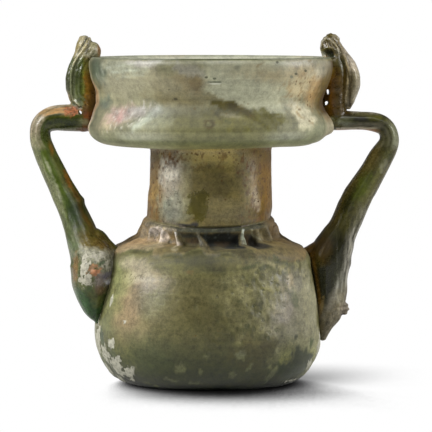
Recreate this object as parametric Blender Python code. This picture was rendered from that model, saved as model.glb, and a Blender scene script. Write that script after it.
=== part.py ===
"""Two-handled blown glass jar with a cup-shaped mouth.

One blown vessel (flat base, barrel body, crimped collar, tubular neck and a
waisted cup) carries two applied glass handles.  Each handle is one hot trail:
a drop-shaped pad on the shoulder, a rod drawn up and outward, a sharp bend in
to the cup, a strap up the cup wall and a folded thumb-rest above the rim.

Metres, +Z up.  The origin is the centre of the flat underside and the handles
lie along X.
"""

import math

import bmesh
import bpy
from mathutils import Vector

MM = 0.001

# ---------------------------------------------------------------- vessel sizes
# Millimetres.  Radii are measured from the vessel's own axis.
FOOT_R = 21.6          # flat resting disc
BELLY_R = 31.5         # widest part of the body
BELLY_Z = 14.5
SHOULDER_R = 28.9      # where the wall turns in
SHOULDER_Z = 32.5
WALL_POWER = 1.8       # how late the body wall starts to taper
SKIRT_R = 24.8         # outer edge of the crimped collar on the shoulder
SKIRT_Z = 38.9
ROLL_R = 19.8          # rolled fold between neck and shoulder
ROLL_Z = 43.0
SEAM_R = 17.4          # crease where the neck rises out of the roll
SEAM_Z = 46.8
COLLAR_TILT = 1.4      # the collar sits lower at the front, higher behind
NECK_R = 17.05         # narrowest part of the neck
NECK_Z = 59.0
NECK_TOP_Z = 66.4
UNDER_R = 27.5         # flat part of the cup's underside
UNDER_Z = 66.8
BULGE_R = 34.6         # lower bulge of the cup
BULGE_Z = 71.8
WAIST_R = 31.2         # tooled waist of the cup
WAIST_Z = 79.4
RIM_R = 34.3           # outside of the mouth
RIM_Z = 91.5           # top of the lip
LIP_R = 1.35           # half thickness of the fire-rounded lip
AXIS_SHIFT = 1.2       # the neck and cup lean this far towards +X
AXIS_LOW_Z, AXIS_HIGH_Z = 18.0, 62.0
FOOT_SHIFT = 0.35      # the foot is a little off the body's axis, also +X

WALL = 2.2             # wall of the body and cup
NECK_WALL = 2.3
BASE_T = 3.4           # the base is the thickest part of the blown glass

# Pinched tucks round the collar: the front ones sit at these bearings
# (degrees from the front, + towards +X); the others follow a slow beat.
FRONT_TUCKS = (-57.0, -38.0, -24.0, -3.0, 25.0, 42.0)
TUCK_PITCH = 19.6
TUCK_BEAT = 3.0
SLICES_PER_TUCK = 4

CLEARANCE = 0.3        # between a handle and the vessel

# --------------------------------------------------------------- handle sizes
# Rows of (x, z, half thickness in the handle's plane, half width across it,
# sideways shift along Y).  The rod runs from the tip of the pad to the cup,
# the strap from the rod up the cup wall to the top of the fold, and the leaf
# is the end of the trail folded back down outside the strap.
LEFT_ROD = (
    (-31.0, 18.8, 1.7, 2.0, -7.2),    # tip of the pad
    (-31.4, 22.2, 3.6, 4.8, -7.8),
    (-31.9, 27.0, 5.3, 7.2, -8.2),
    (-32.0, 32.5, 6.4, 8.2, -8.2),    # middle of the pad
    (-32.3, 37.6, 6.6, 7.8, -7.2),
    (-35.3, 43.6, 4.3, 5.5, -5.2),    # the rod leaves the shoulder
    (-37.4, 48.4, 3.6, 4.4, -4.0),
    (-39.3, 52.4, 3.6, 4.0, -3.2),
    (-41.5, 56.6, 3.0, 3.8, -2.4),
    (-45.0, 64.0, 2.75, 3.7, -1.2),
    (-46.7, 68.8, 2.75, 3.7, -0.8),   # outside of the bend
    (-46.2, 72.4, 2.95, 3.8, -0.6),
    (-43.1, 74.2, 3.4, 3.9, -0.4),
    (-39.0, 74.4, 3.7, 4.1, -0.2),
    (-33.0, 74.2, 3.6, 4.1, 0.0),     # rod meets the cup
)
LEFT_STRAP = (
    (-34.7, 71.2, 1.5, 2.0, 0.0),     # heel below the rod
    (-34.7, 74.4, 3.2, 3.8, 0.0),
    (-34.4, 79.0, 3.8, 4.3, 0.0),     # against the waist of the cup
    (-34.4, 84.0, 3.8, 4.3, 0.0),
    (-34.4, 88.0, 3.3, 4.1, 0.0),
    (-34.3, 91.6, 2.6, 3.7, 0.0),
    (-34.2, 94.8, 2.1, 3.0, 0.0),
    (-34.1, 96.5, 1.3, 1.6, 0.0),     # top of the fold
)
LEFT_LEAF = (
    (-37.1, 78.2, 0.7, 1.6, 0.0),     # lower end, tucked on the rod
    (-37.6, 80.6, 1.3, 3.0, 0.0),
    (-38.0, 84.3, 1.6, 3.9, 0.0),
    (-37.5, 88.0, 1.5, 3.7, 0.0),
    (-36.0, 91.6, 1.25, 3.3, 0.0),
    (-35.2, 94.2, 1.2, 2.6, 0.0),
    (-34.6, 96.3, 0.9, 1.6, 0.0),     # joins the top of the fold
)
LEFT_LOBE = (-31.9, 93.1, 2.1, 3.2, 2.5)      # x, z, half sizes in x, y and z

RIGHT_ROD = (
    (32.6, 12.2, 1.1, 1.6, 2.6),      # tip of the pad
    (33.0, 15.4, 2.5, 3.8, 2.9),
    (34.1, 19.6, 4.3, 5.6, 3.1),
    (34.3, 24.5, 4.9, 6.6, 3.2),
    (34.4, 30.0, 5.4, 7.0, 3.1),      # middle of the pad
    (34.4, 36.0, 6.2, 6.8, 2.8),
    (37.2, 41.8, 4.7, 5.4, 2.2),      # the rod leaves the shoulder
    (39.7, 46.6, 4.1, 4.6, 1.7),
    (42.1, 51.4, 3.85, 4.2, 1.3),
    (45.5, 57.4, 3.4, 3.9, 0.9),
    (48.9, 63.5, 2.95, 3.7, 0.6),
    (51.1, 67.8, 2.65, 3.6, 0.4),     # outside of the bend
    (50.4, 71.4, 2.5, 3.5, 0.3),
    (47.2, 73.3, 2.45, 3.5, 0.3),
    (42.6, 73.8, 2.4, 3.7, 0.2),
    (34.5, 73.9, 2.5, 4.0, 0.2),      # rod meets the cup
)
RIGHT_STRAP = (
    (36.0, 71.9, 1.0, 2.0, 0.2),      # heel below the rod
    (36.1, 74.6, 3.0, 3.8, 0.2),
    (35.6, 79.0, 3.4, 4.3, 0.2),      # against the waist of the cup
    (35.8, 84.5, 3.9, 4.3, 0.2),
    (35.9, 88.0, 3.5, 4.1, 0.2),
    (35.3, 91.5, 3.0, 3.8, 0.2),
    (34.6, 94.6, 2.8, 3.4, 0.2),
    (35.0, 96.9, 1.7, 1.9, 0.2),      # top of the fold
)
RIGHT_LEAF = (
    (39.8, 77.4, 0.7, 1.5, 0.2),      # lower end, tucked on the rod
    (40.3, 79.8, 1.5, 2.8, 0.2),
    (41.2, 83.4, 1.7, 3.8, 0.2),
    (41.0, 86.6, 1.7, 3.8, 0.2),
    (39.8, 89.8, 1.5, 3.4, 0.2),
    (37.9, 92.6, 1.3, 2.8, 0.2),
    (36.2, 95.4, 1.1, 1.9, 0.2),      # joins the top of the fold
)
RIGHT_KNOB = (38.5, 20.2, 1.3, 1.2, 1.8)      # pinched tool mark on the pad

SIDES = 10             # facets round a handle


# ------------------------------------------------------------------ small math
def smooth(t):
    t = min(1.0, max(0.0, t))
    return t * t * (3.0 - 2.0 * t)


def bezier(a, b, c, d, n):
    """n points after a along a cubic curve, the last at d."""
    out = []
    for i in range(1, n + 1):
        t = i / n
        w = ((1 - t) ** 3, 3 * t * (1 - t) ** 2, 3 * t * t * (1 - t), t ** 3)
        out.append(tuple(sum(k * p[j] for k, p in zip(w, (a, b, c, d))) for j in (0, 1)))
    return out


def quarter(r0, z0, r1, z1, n):
    """n points after (r0, z0) on a quarter ellipse that leaves it level."""
    return [
        (
            r0 + (r1 - r0) * math.sin(math.pi / 2 * i / n),
            z0 + (z1 - z0) * (1 - math.cos(math.pi / 2 * i / n)),
        )
        for i in range(1, n + 1)
    ]


def spline(rows, per_span):
    """Catmull-Rom through rows of equal length, per_span steps to a span."""
    out = []
    last = len(rows) - 1
    for i in range(last):
        p = [rows[max(i - 1, 0)], rows[i], rows[i + 1], rows[min(i + 2, last)]]
        for k in range(per_span):
            t = k / per_span
            out.append(
                tuple(
                    0.5
                    * (
                        2 * b
                        + (c - a) * t
                        + (2 * a - 5 * b + 4 * c - d) * t * t
                        + (3 * b - a - 3 * c + d) * t ** 3
                    )
                    for a, b, c, d in zip(*p)
                )
            )
    out.append(rows[last])
    return out


# -------------------------------------------------------------- vessel profile
def outer_profile():
    """Rows of (ridge r, ridge z, hollow r, hollow z) from the foot to the lip.

    Away from the collar the two lines are the same; round the collar the
    first runs along a tuck and the second down in the hollow between tucks.
    """
    plain = [(FOOT_R, 0.0)]
    plain += quarter(FOOT_R, 0.0, BELLY_R, BELLY_Z, 4)
    for i in range(1, 3):
        t = i / 2
        plain.append(
            (
                BELLY_R - (BELLY_R - SHOULDER_R) * t ** WALL_POWER,
                BELLY_Z + (SHOULDER_Z - BELLY_Z) * t,
            )
        )
    plain += bezier(
        (SHOULDER_R, SHOULDER_Z),
        (SHOULDER_R, SHOULDER_Z + 3.9),
        (SKIRT_R + 2.2, SKIRT_Z - 0.6),
        (SKIRT_R, SKIRT_Z),
        3,
    )
    rows = [(r, z, r, z) for r, z in plain]
    rows += [
        (SKIRT_R - 2.1, SKIRT_Z + 1.1, SKIRT_R - 2.0, SKIRT_Z + 0.45),
        (ROLL_R + 0.9, ROLL_Z - 1.9, ROLL_R + 0.5, ROLL_Z - 2.9),
        (ROLL_R + 0.15, ROLL_Z - 0.9, ROLL_R - 0.7, ROLL_Z - 2.0),
        (ROLL_R - 0.1, ROLL_Z + 0.4, ROLL_R - 0.2, ROLL_Z - 0.2),
        (ROLL_R - 0.7, ROLL_Z + 2.0, ROLL_R - 0.8, ROLL_Z + 1.8),
        (SEAM_R + 0.8, SEAM_Z - 0.5, SEAM_R + 0.8, SEAM_Z - 0.5),
        (SEAM_R, SEAM_Z, SEAM_R, SEAM_Z),
    ]
    upper = [
        (NECK_R, NECK_Z),
        (NECK_R - 0.1, NECK_TOP_Z),
        (UNDER_R, UNDER_Z),
    ]
    upper += quarter(UNDER_R, UNDER_Z, BULGE_R, BULGE_Z, 3)
    for i in range(1, 4):
        t = i / 3
        s = math.sin(math.pi / 2 * (1 - t)) ** 2.2
        upper.append((WAIST_R + (BULGE_R - WAIST_R) * s, BULGE_Z + (WAIST_Z - BULGE_Z) * t))
    lip_z = RIM_Z - LIP_R
    for i in range(1, 4):
        t = i / 3
        s = math.sin(math.pi / 2 * t) ** 1.2
        upper.append((WAIST_R + (RIM_R - WAIST_R) * s, WAIST_Z + (lip_z - WAIST_Z) * t))
    upper += [
        (RIM_R - LIP_R + LIP_R * math.cos(a), lip_z + LIP_R * math.sin(a))
        for a in (math.pi * 0.25, math.pi * 0.5)
    ]
    rows += [(r, z, r, z) for r, z in upper]
    return rows


def inner_profile():
    """(r, z) from the lip down the inside to the floor of the body."""
    lip_z = RIM_Z - LIP_R
    mid = RIM_R - LIP_R
    out = [
        (mid + LIP_R * math.cos(a), lip_z + LIP_R * math.sin(a))
        for a in (math.pi * 0.75, math.pi)
    ]
    out += [
        (WAIST_R - WALL, WAIST_Z),
        (BULGE_R - WALL, BULGE_Z + 0.4),
        (UNDER_R + 1.2, UNDER_Z + WALL + 0.4),
        (NECK_R - NECK_WALL + 2.4, UNDER_Z + WALL - 0.4),
        (NECK_R - NECK_WALL, NECK_TOP_Z - 0.4),
        (SEAM_R - NECK_WALL, SEAM_Z),
    ]
    out += bezier(
        (SEAM_R - NECK_WALL, SEAM_Z),
        (SEAM_R - NECK_WALL, SEAM_Z - 8.2),
        (SHOULDER_R - WALL - 2.2, SHOULDER_Z + 4.6),
        (SHOULDER_R - WALL, SHOULDER_Z - 0.6),
        3,
    )
    out += [(BELLY_R - WALL, BELLY_Z)]
    low = quarter(FOOT_R - 2.4, BASE_T, BELLY_R - WALL, BELLY_Z, 3)
    out += list(reversed(low[:-1])) + [(FOOT_R - 2.4, BASE_T)]
    return out


def tuck_bearings():
    """Bearings of every tuck, in degrees from the front, once round."""
    out = list(FRONT_TUCKS)
    span = 360.0 - (out[-1] - out[0])
    n = round(span / TUCK_PITCH)
    start = out[-1]
    for k in range(1, n):
        out.append(start + span * k / n + TUCK_BEAT * math.sin(2.3 * k) * math.sin(math.pi * k / n))
    return out


def slices():
    """(angle, weight on the ridge) for each slice: tuck, flank, hollow, flank."""
    tucks = tuck_bearings()
    tucks.append(tucks[0] + 360.0)
    weights = (1.0, 0.35, 0.0, 0.35)
    out = []
    for a, b in zip(tucks, tucks[1:]):
        for k in range(SLICES_PER_TUCK):
            bearing = math.radians(a + (b - a) * k / SLICES_PER_TUCK)
            out.append((bearing - math.pi / 2, weights[k]))
    return out


def axis_x(z):
    lean = AXIS_SHIFT * smooth((z - AXIS_LOW_Z) / (AXIS_HIGH_Z - AXIS_LOW_Z))
    return lean + FOOT_SHIFT * (1 - smooth(z / BELLY_Z))


def tilt(z, angle):
    """Height change that tips the collar down at the front."""
    near = smooth((z - SKIRT_Z) / 3.0) * (1 - smooth((z - SEAM_Z - 1.0) / 7.0))
    return COLLAR_TILT * near * math.sin(angle)


def outer_point(row, angle, weight):
    r = row[2] + (row[0] - row[2]) * weight
    z = row[3] + (row[1] - row[3]) * weight
    z += tilt(z, angle)
    return Vector((axis_x(z) + r * math.cos(angle), r * math.sin(angle), z))


def ring_faces(bm, a, b):
    n = len(a)
    for i in range(n):
        j = (i + 1) % n
        bm.faces.new((a[i], a[j], b[j], b[i]))


def finish_mesh(bm, name):
    bmesh.ops.triangulate(bm, faces=[f for f in bm.faces if len(f.verts) == 4])
    bmesh.ops.recalc_face_normals(bm, faces=bm.faces[:])
    for v in bm.verts:
        v.co *= MM
    mesh = bpy.data.meshes.new(name)
    bm.to_mesh(mesh)
    bm.free()
    return mesh


def vessel_mesh():
    bm = bmesh.new()
    around = slices()
    outer = [
        [bm.verts.new(outer_point(row, a, w)) for a, w in around]
        for row in outer_profile()
    ]
    inner = [
        [
            bm.verts.new((axis_x(z) + r * math.cos(a), r * math.sin(a), z))
            for a, _ in around
        ]
        for r, z in inner_profile()
    ]
    rings = outer + inner
    for a, b in zip(rings, rings[1:]):
        ring_faces(bm, a, b)
    bm.faces.new(list(reversed(rings[0])))
    bm.faces.new(rings[-1])
    return finish_mesh(bm, "vessel")


def clearance_mesh():
    """The vessel's outside, filled and swollen by the clearance."""
    around = slices()
    rows = outer_profile()
    pts = [[outer_point(row, a, w) for a, w in around] for row in rows]
    bm = bmesh.new()
    rings = []
    n = len(around)
    for i, ring in enumerate(pts):
        lo, hi = pts[max(i - 1, 0)], pts[min(i + 1, len(pts) - 1)]
        new = []
        for j, p in enumerate(ring):
            if i == 0:
                normal = Vector((math.cos(around[j][0]), math.sin(around[j][0]), -1.0))
            elif i == len(pts) - 1:
                normal = Vector((0.0, 0.0, 1.0))
            else:
                up = hi[j] - lo[j]
                side = ring[(j + 1) % n] - ring[j - 1]
                normal = side.cross(up)
            new.append(bm.verts.new(p + normal.normalized() * CLEARANCE))
        rings.append(new)
    for a, b in zip(rings, rings[1:]):
        ring_faces(bm, a, b)
    bm.faces.new(list(reversed(rings[0])))
    bm.faces.new(rings[-1])
    return finish_mesh(bm, "vessel_clearance")


# --------------------------------------------------------------------- handles
def sweep_mesh(rows, name, per_span):
    """A closed tube of oval section along rows of (x, z, half a, half b, y)."""
    pts = spline(rows, per_span)
    bm = bmesh.new()
    rings = []
    for i, (x, z, a, b, y) in enumerate(pts):
        p, q = pts[max(i - 1, 0)], pts[min(i + 1, len(pts) - 1)]
        along = Vector((q[0] - p[0], 0.0, q[1] - p[1])).normalized()
        out = Vector((along.z, 0.0, -along.x))
        ring = []
        for k in range(SIDES):
            t = 2 * math.pi * k / SIDES
            ring.append(
                bm.verts.new(
                    Vector((x, y, z)) + out * (a * math.cos(t)) + Vector((0, 1, 0)) * (b * math.sin(t))
                )
            )
        rings.append(ring)
    for a, b in zip(rings, rings[1:]):
        ring_faces(bm, a, b)
    for ring, end, before in ((rings[0], pts[0], pts[1]), (rings[-1], pts[-1], pts[-2])):
        away = Vector((end[0] - before[0], 0.0, end[1] - before[1])).normalized()
        tip = bm.verts.new(Vector((end[0], end[4], end[1])) + away * min(end[2], 0.8))
        for k in range(SIDES):
            bm.faces.new((ring[k], ring[(k + 1) % SIDES], tip))
    return finish_mesh(bm, name)


def lobe_mesh(size, y, name, subdivisions=1):
    x, z, a, b, c = size
    bm = bmesh.new()
    bmesh.ops.create_icosphere(bm, subdivisions=subdivisions, radius=1.0)
    for v in bm.verts:
        v.co = Vector((x + v.co.x * a, y + v.co.y * b, z + v.co.z * c))
    return finish_mesh(bm, name)


# ----------------------------------------------------------------------- scene
def material(name, colour, roughness):
    mat = bpy.data.materials.new(name)
    mat.use_nodes = True
    shader = mat.node_tree.nodes["Principled BSDF"]
    shader.inputs["Base Color"].default_value = (*colour, 1.0)
    shader.inputs["Roughness"].default_value = roughness
    shader.inputs["Metallic"].default_value = 0.0
    return mat


def add(name, mesh, mat, cutter=False):
    ob = bpy.data.objects.new(name, mesh)
    bpy.context.scene.collection.objects.link(ob)
    if mat is not None:
        mesh.materials.append(mat)
    if cutter:
        ob.hide_render = True
        ob.display_type = "WIRE"
    else:
        mesh.shade_smooth()
        mesh.set_sharp_from_angle(angle=math.radians(50))
    return ob


def combine(ob, other, operation):
    mod = ob.modifiers.new(operation.title() + "_" + other.name, "BOOLEAN")
    mod.operation = operation
    mod.solver = "EXACT"
    mod.object = other
    return mod


def handle(name, rod, strap, leaf, lumps, mat, clearance):
    """One applied trail: rod, strap, leaf and lumps fused, clear of the vessel."""
    body = add(name, sweep_mesh(rod, name, 2), mat)
    parts = [
        sweep_mesh(strap, name + "_strap", 2),
        sweep_mesh(leaf, name + "_leaf", 2),
    ] + [lobe_mesh(size, y, name + "_lump%d" % i) for i, (size, y) in enumerate(lumps)]
    for mesh in parts:
        combine(body, add(mesh.name, mesh, None, cutter=True), "UNION")
    combine(body, clearance, "DIFFERENCE")
    return body


def main():
    for ob in list(bpy.data.objects):
        bpy.data.objects.remove(ob, do_unlink=True)

    weathered = material("weathered_glass", (0.36, 0.38, 0.24), 0.42)
    green = material("green_glass", (0.10, 0.13, 0.05), 0.32)

    add("vessel", vessel_mesh(), weathered)
    clearance = add("vessel_clearance", clearance_mesh(), None, cutter=True)
    handle("handle_left", LEFT_ROD, LEFT_STRAP, LEFT_LEAF, [(LEFT_LOBE, 0.0)], green, clearance)
    handle("handle_right", RIGHT_ROD, RIGHT_STRAP, RIGHT_LEAF, [(RIGHT_KNOB, 2.0)], green, clearance)


main()
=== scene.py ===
"""Looks, materials, light and camera for the two-handled glass jar."""

import math

import bmesh
import bpy
import numpy as np
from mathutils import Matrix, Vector
from mathutils.bvhtree import BVHTree


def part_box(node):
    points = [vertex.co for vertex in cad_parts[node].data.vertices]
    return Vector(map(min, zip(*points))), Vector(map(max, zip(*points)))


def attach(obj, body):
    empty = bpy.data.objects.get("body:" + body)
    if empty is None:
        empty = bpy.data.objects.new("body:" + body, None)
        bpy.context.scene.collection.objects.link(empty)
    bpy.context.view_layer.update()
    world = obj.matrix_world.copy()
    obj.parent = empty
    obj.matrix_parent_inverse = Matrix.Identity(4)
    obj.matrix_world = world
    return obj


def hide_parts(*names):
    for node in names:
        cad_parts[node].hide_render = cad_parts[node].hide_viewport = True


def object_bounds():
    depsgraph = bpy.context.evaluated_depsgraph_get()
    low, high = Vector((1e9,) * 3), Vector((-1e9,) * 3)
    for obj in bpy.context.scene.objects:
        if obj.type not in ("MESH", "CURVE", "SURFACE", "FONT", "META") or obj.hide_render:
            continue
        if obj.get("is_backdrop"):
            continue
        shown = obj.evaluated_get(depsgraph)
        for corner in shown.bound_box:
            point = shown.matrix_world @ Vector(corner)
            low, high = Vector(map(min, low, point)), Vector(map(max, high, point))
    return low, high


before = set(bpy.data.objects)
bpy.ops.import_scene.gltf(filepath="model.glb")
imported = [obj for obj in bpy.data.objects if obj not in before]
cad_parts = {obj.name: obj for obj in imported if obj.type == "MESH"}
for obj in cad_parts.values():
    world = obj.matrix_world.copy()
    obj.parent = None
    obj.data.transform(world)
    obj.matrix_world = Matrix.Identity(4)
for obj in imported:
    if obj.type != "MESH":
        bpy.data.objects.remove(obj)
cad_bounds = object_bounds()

MM = 0.001

# ------------------------------------------------------------------ vessel sizes
# The CAD vessel's named sizes in millimetres; the tilt, seam, foot and lip are drawn a little finer here.
FOOT_R = 21.6
BELLY_R, BELLY_Z = 31.5, 14.5
SHOULDER_R, SHOULDER_Z = 28.9, 32.5
WALL_POWER = 1.8
SKIRT_R, SKIRT_Z = 24.8, 38.9
ROLL_R, ROLL_Z = 19.8, 43.0
SEAM_R, SEAM_Z = 17.4, 46.6
COLLAR_TILT = 2.0
COLLAR_SHIFT = 0.35
NECK_R, NECK_Z = 17.05, 59.0
NECK_TOP_Z = 66.4
UNDER_R, UNDER_Z = 27.5, 66.8
BULGE_R, BULGE_Z = 34.6, 71.8
WAIST_R, WAIST_Z = 31.2, 79.4
RIM_R, RIM_Z = 34.3, 91.5
LIP_R, LIP_H = 1.35, 2.3
AXIS_SHIFT = 1.2
AXIS_LOW_Z, AXIS_HIGH_Z = 18.0, 62.0
FOOT_SHIFT = 0.65
WALL, NECK_WALL, BASE_T = 2.2, 2.3, 3.4
TUCK_PITCH, TUCK_BEAT = 19.6, 3.0

# The tucks at the front: bearing at the top of the ridge, bearing at its foot,
# strength, half width at the top and at the foot in degrees.
FRONT_TUCKS = (
    (-59.8, -57.5, 0.80, 2.2, 4.0),
    (-43.0, -41.0, 1.00, 2.6, 7.0),
    (-28.5, -20.5, 1.00, 2.2, 3.4),
    (-8.5, -2.5, 0.80, 1.6, 3.6),
    (30.8, 29.2, 1.00, 1.3, 1.4),
    (47.0, 46.0, 0.85, 2.6, 5.0),
)

# Height of the lower edge of the collar's skirt, by bearing, across the front.
SKIRT_EDGE = (
    (-75.0, 36.6), (-63.0, 37.3), (-56.0, 38.2), (-46.0, 38.5), (-36.5, 38.5), (-34.0, 37.3), (-28.5, 37.2),
    (-25.5, 38.2), (-19.0, 38.0), (-14.5, 37.9), (-11.5, 39.0), (-5.0, 39.2), (-2.0, 38.2), (1.0, 37.5),
    (5.5, 37.4), (7.5, 38.6), (13.0, 38.2), (18.0, 37.2), (23.0, 36.6), (30.0, 36.9), (36.0, 36.9),
    (42.0, 36.1), (50.0, 35.4), (62.0, 35.0), (75.0, 35.6), (90.0, 36.8),
)

SEGMENTS = 360
OUTER_ROWS = 232
INNER_ROWS = 30


# ------------------------------------------------------------------------ noise
def sstep(lo, hi, x):
    t = np.clip((x - lo) / (hi - lo), 0.0, 1.0)
    return t * t * (3.0 - 2.0 * t)


def lerp(a, b, t):
    return a + (b - a) * t


def hash01(ix, iy, iz, seed):
    h = (ix * 374761393 + iy * 668265263 + iz * 1440662683 + seed * 362437) & 0xFFFFFFFF
    h = ((h ^ (h >> 13)) * 1274126177) & 0xFFFFFFFF
    h = ((h ^ (h >> 16)) * 2246822519) & 0xFFFFFFFF
    return (h ^ (h >> 15)) / 4294967295.0


def value_noise(p, seed):
    i = np.floor(p).astype(np.int64)
    f = p - i
    u = f * f * f * (f * (f * 6.0 - 15.0) + 10.0)
    out = 0.0
    for dx in (0, 1):
        wx = u[..., 0] if dx else 1.0 - u[..., 0]
        for dy in (0, 1):
            wy = u[..., 1] if dy else 1.0 - u[..., 1]
            for dz in (0, 1):
                wz = u[..., 2] if dz else 1.0 - u[..., 2]
                out = out + wx * wy * wz * hash01(
                    i[..., 0] + dx, i[..., 1] + dy, i[..., 2] + dz, seed
                )
    return out * 2.0 - 1.0


def fbm(p, size, octaves=4, seed=1, gain=0.5):
    """Smooth noise, about -1 to 1, whose largest features are size mm across."""
    out, amp, total = 0.0, 1.0, 0.0
    scale = 1.0 / size
    for k in range(octaves):
        q = p * scale + 17.3 * (k + 1) + seed * 3.7
        out = out + amp * value_noise(q, seed + 101 * k)
        total += amp
        amp *= gain
        scale *= 2.03
    return out / total * 1.6


# --------------------------------------------------------------- vessel profile
def smooth(t):
    t = np.clip(t, 0.0, 1.0)
    return t * t * (3.0 - 2.0 * t)


def quarter(r0, z0, r1, z1, n):
    a = np.linspace(0, math.pi / 2, n + 1)[1:]
    return [(r0 + (r1 - r0) * math.sin(t), z0 + (z1 - z0) * (1 - math.cos(t))) for t in a]


def bezier(a, b, c, d, n):
    out = []
    for i in range(1, n + 1):
        t = i / n
        w = ((1 - t) ** 3, 3 * t * (1 - t) ** 2, 3 * t * t * (1 - t), t ** 3)
        out.append(tuple(sum(k * p[j] for k, p in zip(w, (a, b, c, d))) for j in (0, 1)))
    return out


def spline(rows, per_span):
    """Catmull-Rom through rows of equal length."""
    out = []
    last = len(rows) - 1
    for i in range(last):
        p = [rows[max(i - 1, 0)], rows[i], rows[i + 1], rows[min(i + 2, last)]]
        for k in range(per_span):
            t = k / per_span
            out.append(
                tuple(
                    0.5 * (2 * b + (c - a) * t + (2 * a - 5 * b + 4 * c - d) * t * t
                           + (3 * b - a - 3 * c + d) * t ** 3)
                    for a, b, c, d in zip(*p)
                )
            )
    out.append(rows[last])
    return out


def outer_lines():
    """Dense (ridge r, ridge z, hollow r, hollow z, smoothing) from foot to lip top."""
    rows = [(FOOT_R, 0.0, FOOT_R, 0.0, 0.15)]
    plain = quarter(FOOT_R, 0.0, BELLY_R, BELLY_Z, 160)
    for i in range(1, 81):
        t = i / 80
        plain.append((BELLY_R - (BELLY_R - SHOULDER_R) * t ** WALL_POWER,
                      BELLY_Z + (SHOULDER_Z - BELLY_Z) * t))
    plain += bezier((SHOULDER_R, SHOULDER_Z), (SHOULDER_R, SHOULDER_Z + 3.9),
                    (SKIRT_R + 2.2, SKIRT_Z - 0.6), (SKIRT_R, SKIRT_Z), 60)
    rows += [(r, z, r, z, 1.0) for r, z in plain]
    collar = [
        (SKIRT_R, SKIRT_Z, SKIRT_R, SKIRT_Z),
        (SKIRT_R - 1.9, SKIRT_Z + 1.05, SKIRT_R - 3.5, SKIRT_Z + 0.65),
        (ROLL_R + 1.1, ROLL_Z - 1.9, ROLL_R - 1.2, ROLL_Z - 2.4),
        (ROLL_R + 0.25, ROLL_Z - 0.8, ROLL_R - 2.05, ROLL_Z - 1.1),
        (ROLL_R - 0.15, ROLL_Z + 0.5, ROLL_R - 2.10, ROLL_Z + 0.6),
        (ROLL_R - 0.70, ROLL_Z + 1.6, ROLL_R - 1.70, ROLL_Z + 1.75),
        (ROLL_R - 1.15, ROLL_Z + 2.5, ROLL_R - 1.20, ROLL_Z + 2.4),
        (SEAM_R + 0.55, SEAM_Z - 0.4, SEAM_R + 0.60, SEAM_Z - 0.45),
        (SEAM_R, SEAM_Z, SEAM_R, SEAM_Z),
    ]
    rows += [(*r, 0.12) for r in spline(collar, 24)[1:]]
    for i in range(1, 121):
        t = i / 120
        z = SEAM_Z + (NECK_TOP_Z - 0.9 - SEAM_Z) * t
        r = NECK_R - 0.1 + (SEAM_R - NECK_R + 0.1) * (1 - t) ** 2.2
        rows.append((r, z, r, z, 0.0 if i < 12 else 0.4))
    upper = [(NECK_R + 0.95 - 0.95 * math.cos(a), NECK_TOP_Z - 0.7 + 0.95 * math.sin(a))
             for a in np.linspace(0.1, math.pi / 2, 14)]
    upper += [(r, NECK_TOP_Z + 0.25 + (UNDER_Z - NECK_TOP_Z - 0.25) * (r - 18.0) / (UNDER_R - 18.0))
              for r in np.linspace(18.2, UNDER_R, 40)]
    upper += quarter(UNDER_R, UNDER_Z, BULGE_R, BULGE_Z, 60)
    for i in range(1, 61):
        t = i / 60
        s = math.sin(math.pi / 2 * (1 - t)) ** 2.2
        upper.append((WAIST_R + (BULGE_R - WAIST_R) * s, BULGE_Z + (WAIST_Z - BULGE_Z) * t))
    lip_z = RIM_Z - LIP_H
    for i in range(1, 81):
        t = i / 80
        s = math.sin(math.pi / 2 * t) ** 1.2
        upper.append((WAIST_R + (RIM_R - WAIST_R) * s, WAIST_Z + (lip_z - WAIST_Z) * t))
    rows += [(r, z, r, z, 0.8) for r, z in upper]
    rows += [(RIM_R - LIP_R + LIP_R * math.cos(a), lip_z + LIP_H * math.sin(a)) * 2 + (0.0,)
             for a in np.linspace(0, math.pi / 2, 24)[1:]]
    return np.array(rows)


def inner_lines():
    lip_z = RIM_Z - LIP_H
    mid = RIM_R - LIP_R
    out = [(mid + LIP_R * math.cos(a), lip_z + LIP_H * math.sin(a), 0.0)
           for a in np.linspace(math.pi / 2, math.pi, 12)]
    cup = [(mid - LIP_R, lip_z), (WAIST_R - WALL + 0.5, WAIST_Z + 4.0), (WAIST_R - WALL, WAIST_Z),
           (BULGE_R - WALL - 1.2, BULGE_Z + 3.4), (BULGE_R - WALL, BULGE_Z + 0.4),
           (UNDER_R + 3.4, UNDER_Z + WALL + 1.2), (UNDER_R + 1.2, UNDER_Z + WALL + 0.4),
           (NECK_R - NECK_WALL + 2.4, UNDER_Z + WALL - 0.4),
           (NECK_R - NECK_WALL + 0.5, UNDER_Z + WALL - 1.2),
           (NECK_R - NECK_WALL, NECK_TOP_Z - 0.6), (NECK_R - NECK_WALL + 0.1, 56.0),
           (SEAM_R - NECK_WALL, SEAM_Z)]
    out += [(r, z, 1.0) for r, z in spline(cup, 12)[1:]]
    out += [(r, z, 1.0) for r, z in bezier(
        (SEAM_R - NECK_WALL, SEAM_Z), (SEAM_R - NECK_WALL, SEAM_Z - 10.8),
        (SHOULDER_R - WALL - 4.4, SHOULDER_Z + 2.4), (SHOULDER_R - WALL, SHOULDER_Z - 0.9), 40)]
    out += [(r, z, 1.0) for r, z in spline(
        [(SHOULDER_R - WALL, SHOULDER_Z - 0.9), (BELLY_R - WALL - 0.6, 22.0), (BELLY_R - WALL, BELLY_Z)], 20)[1:]]
    low = quarter(FOOT_R - 2.4, BASE_T, BELLY_R - WALL, BELLY_Z, 40)
    out += [(r, z, 1.0) for r, z in list(reversed(low[:-1])) + [(FOOT_R - 2.4, BASE_T)]]
    return np.array(out)


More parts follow.
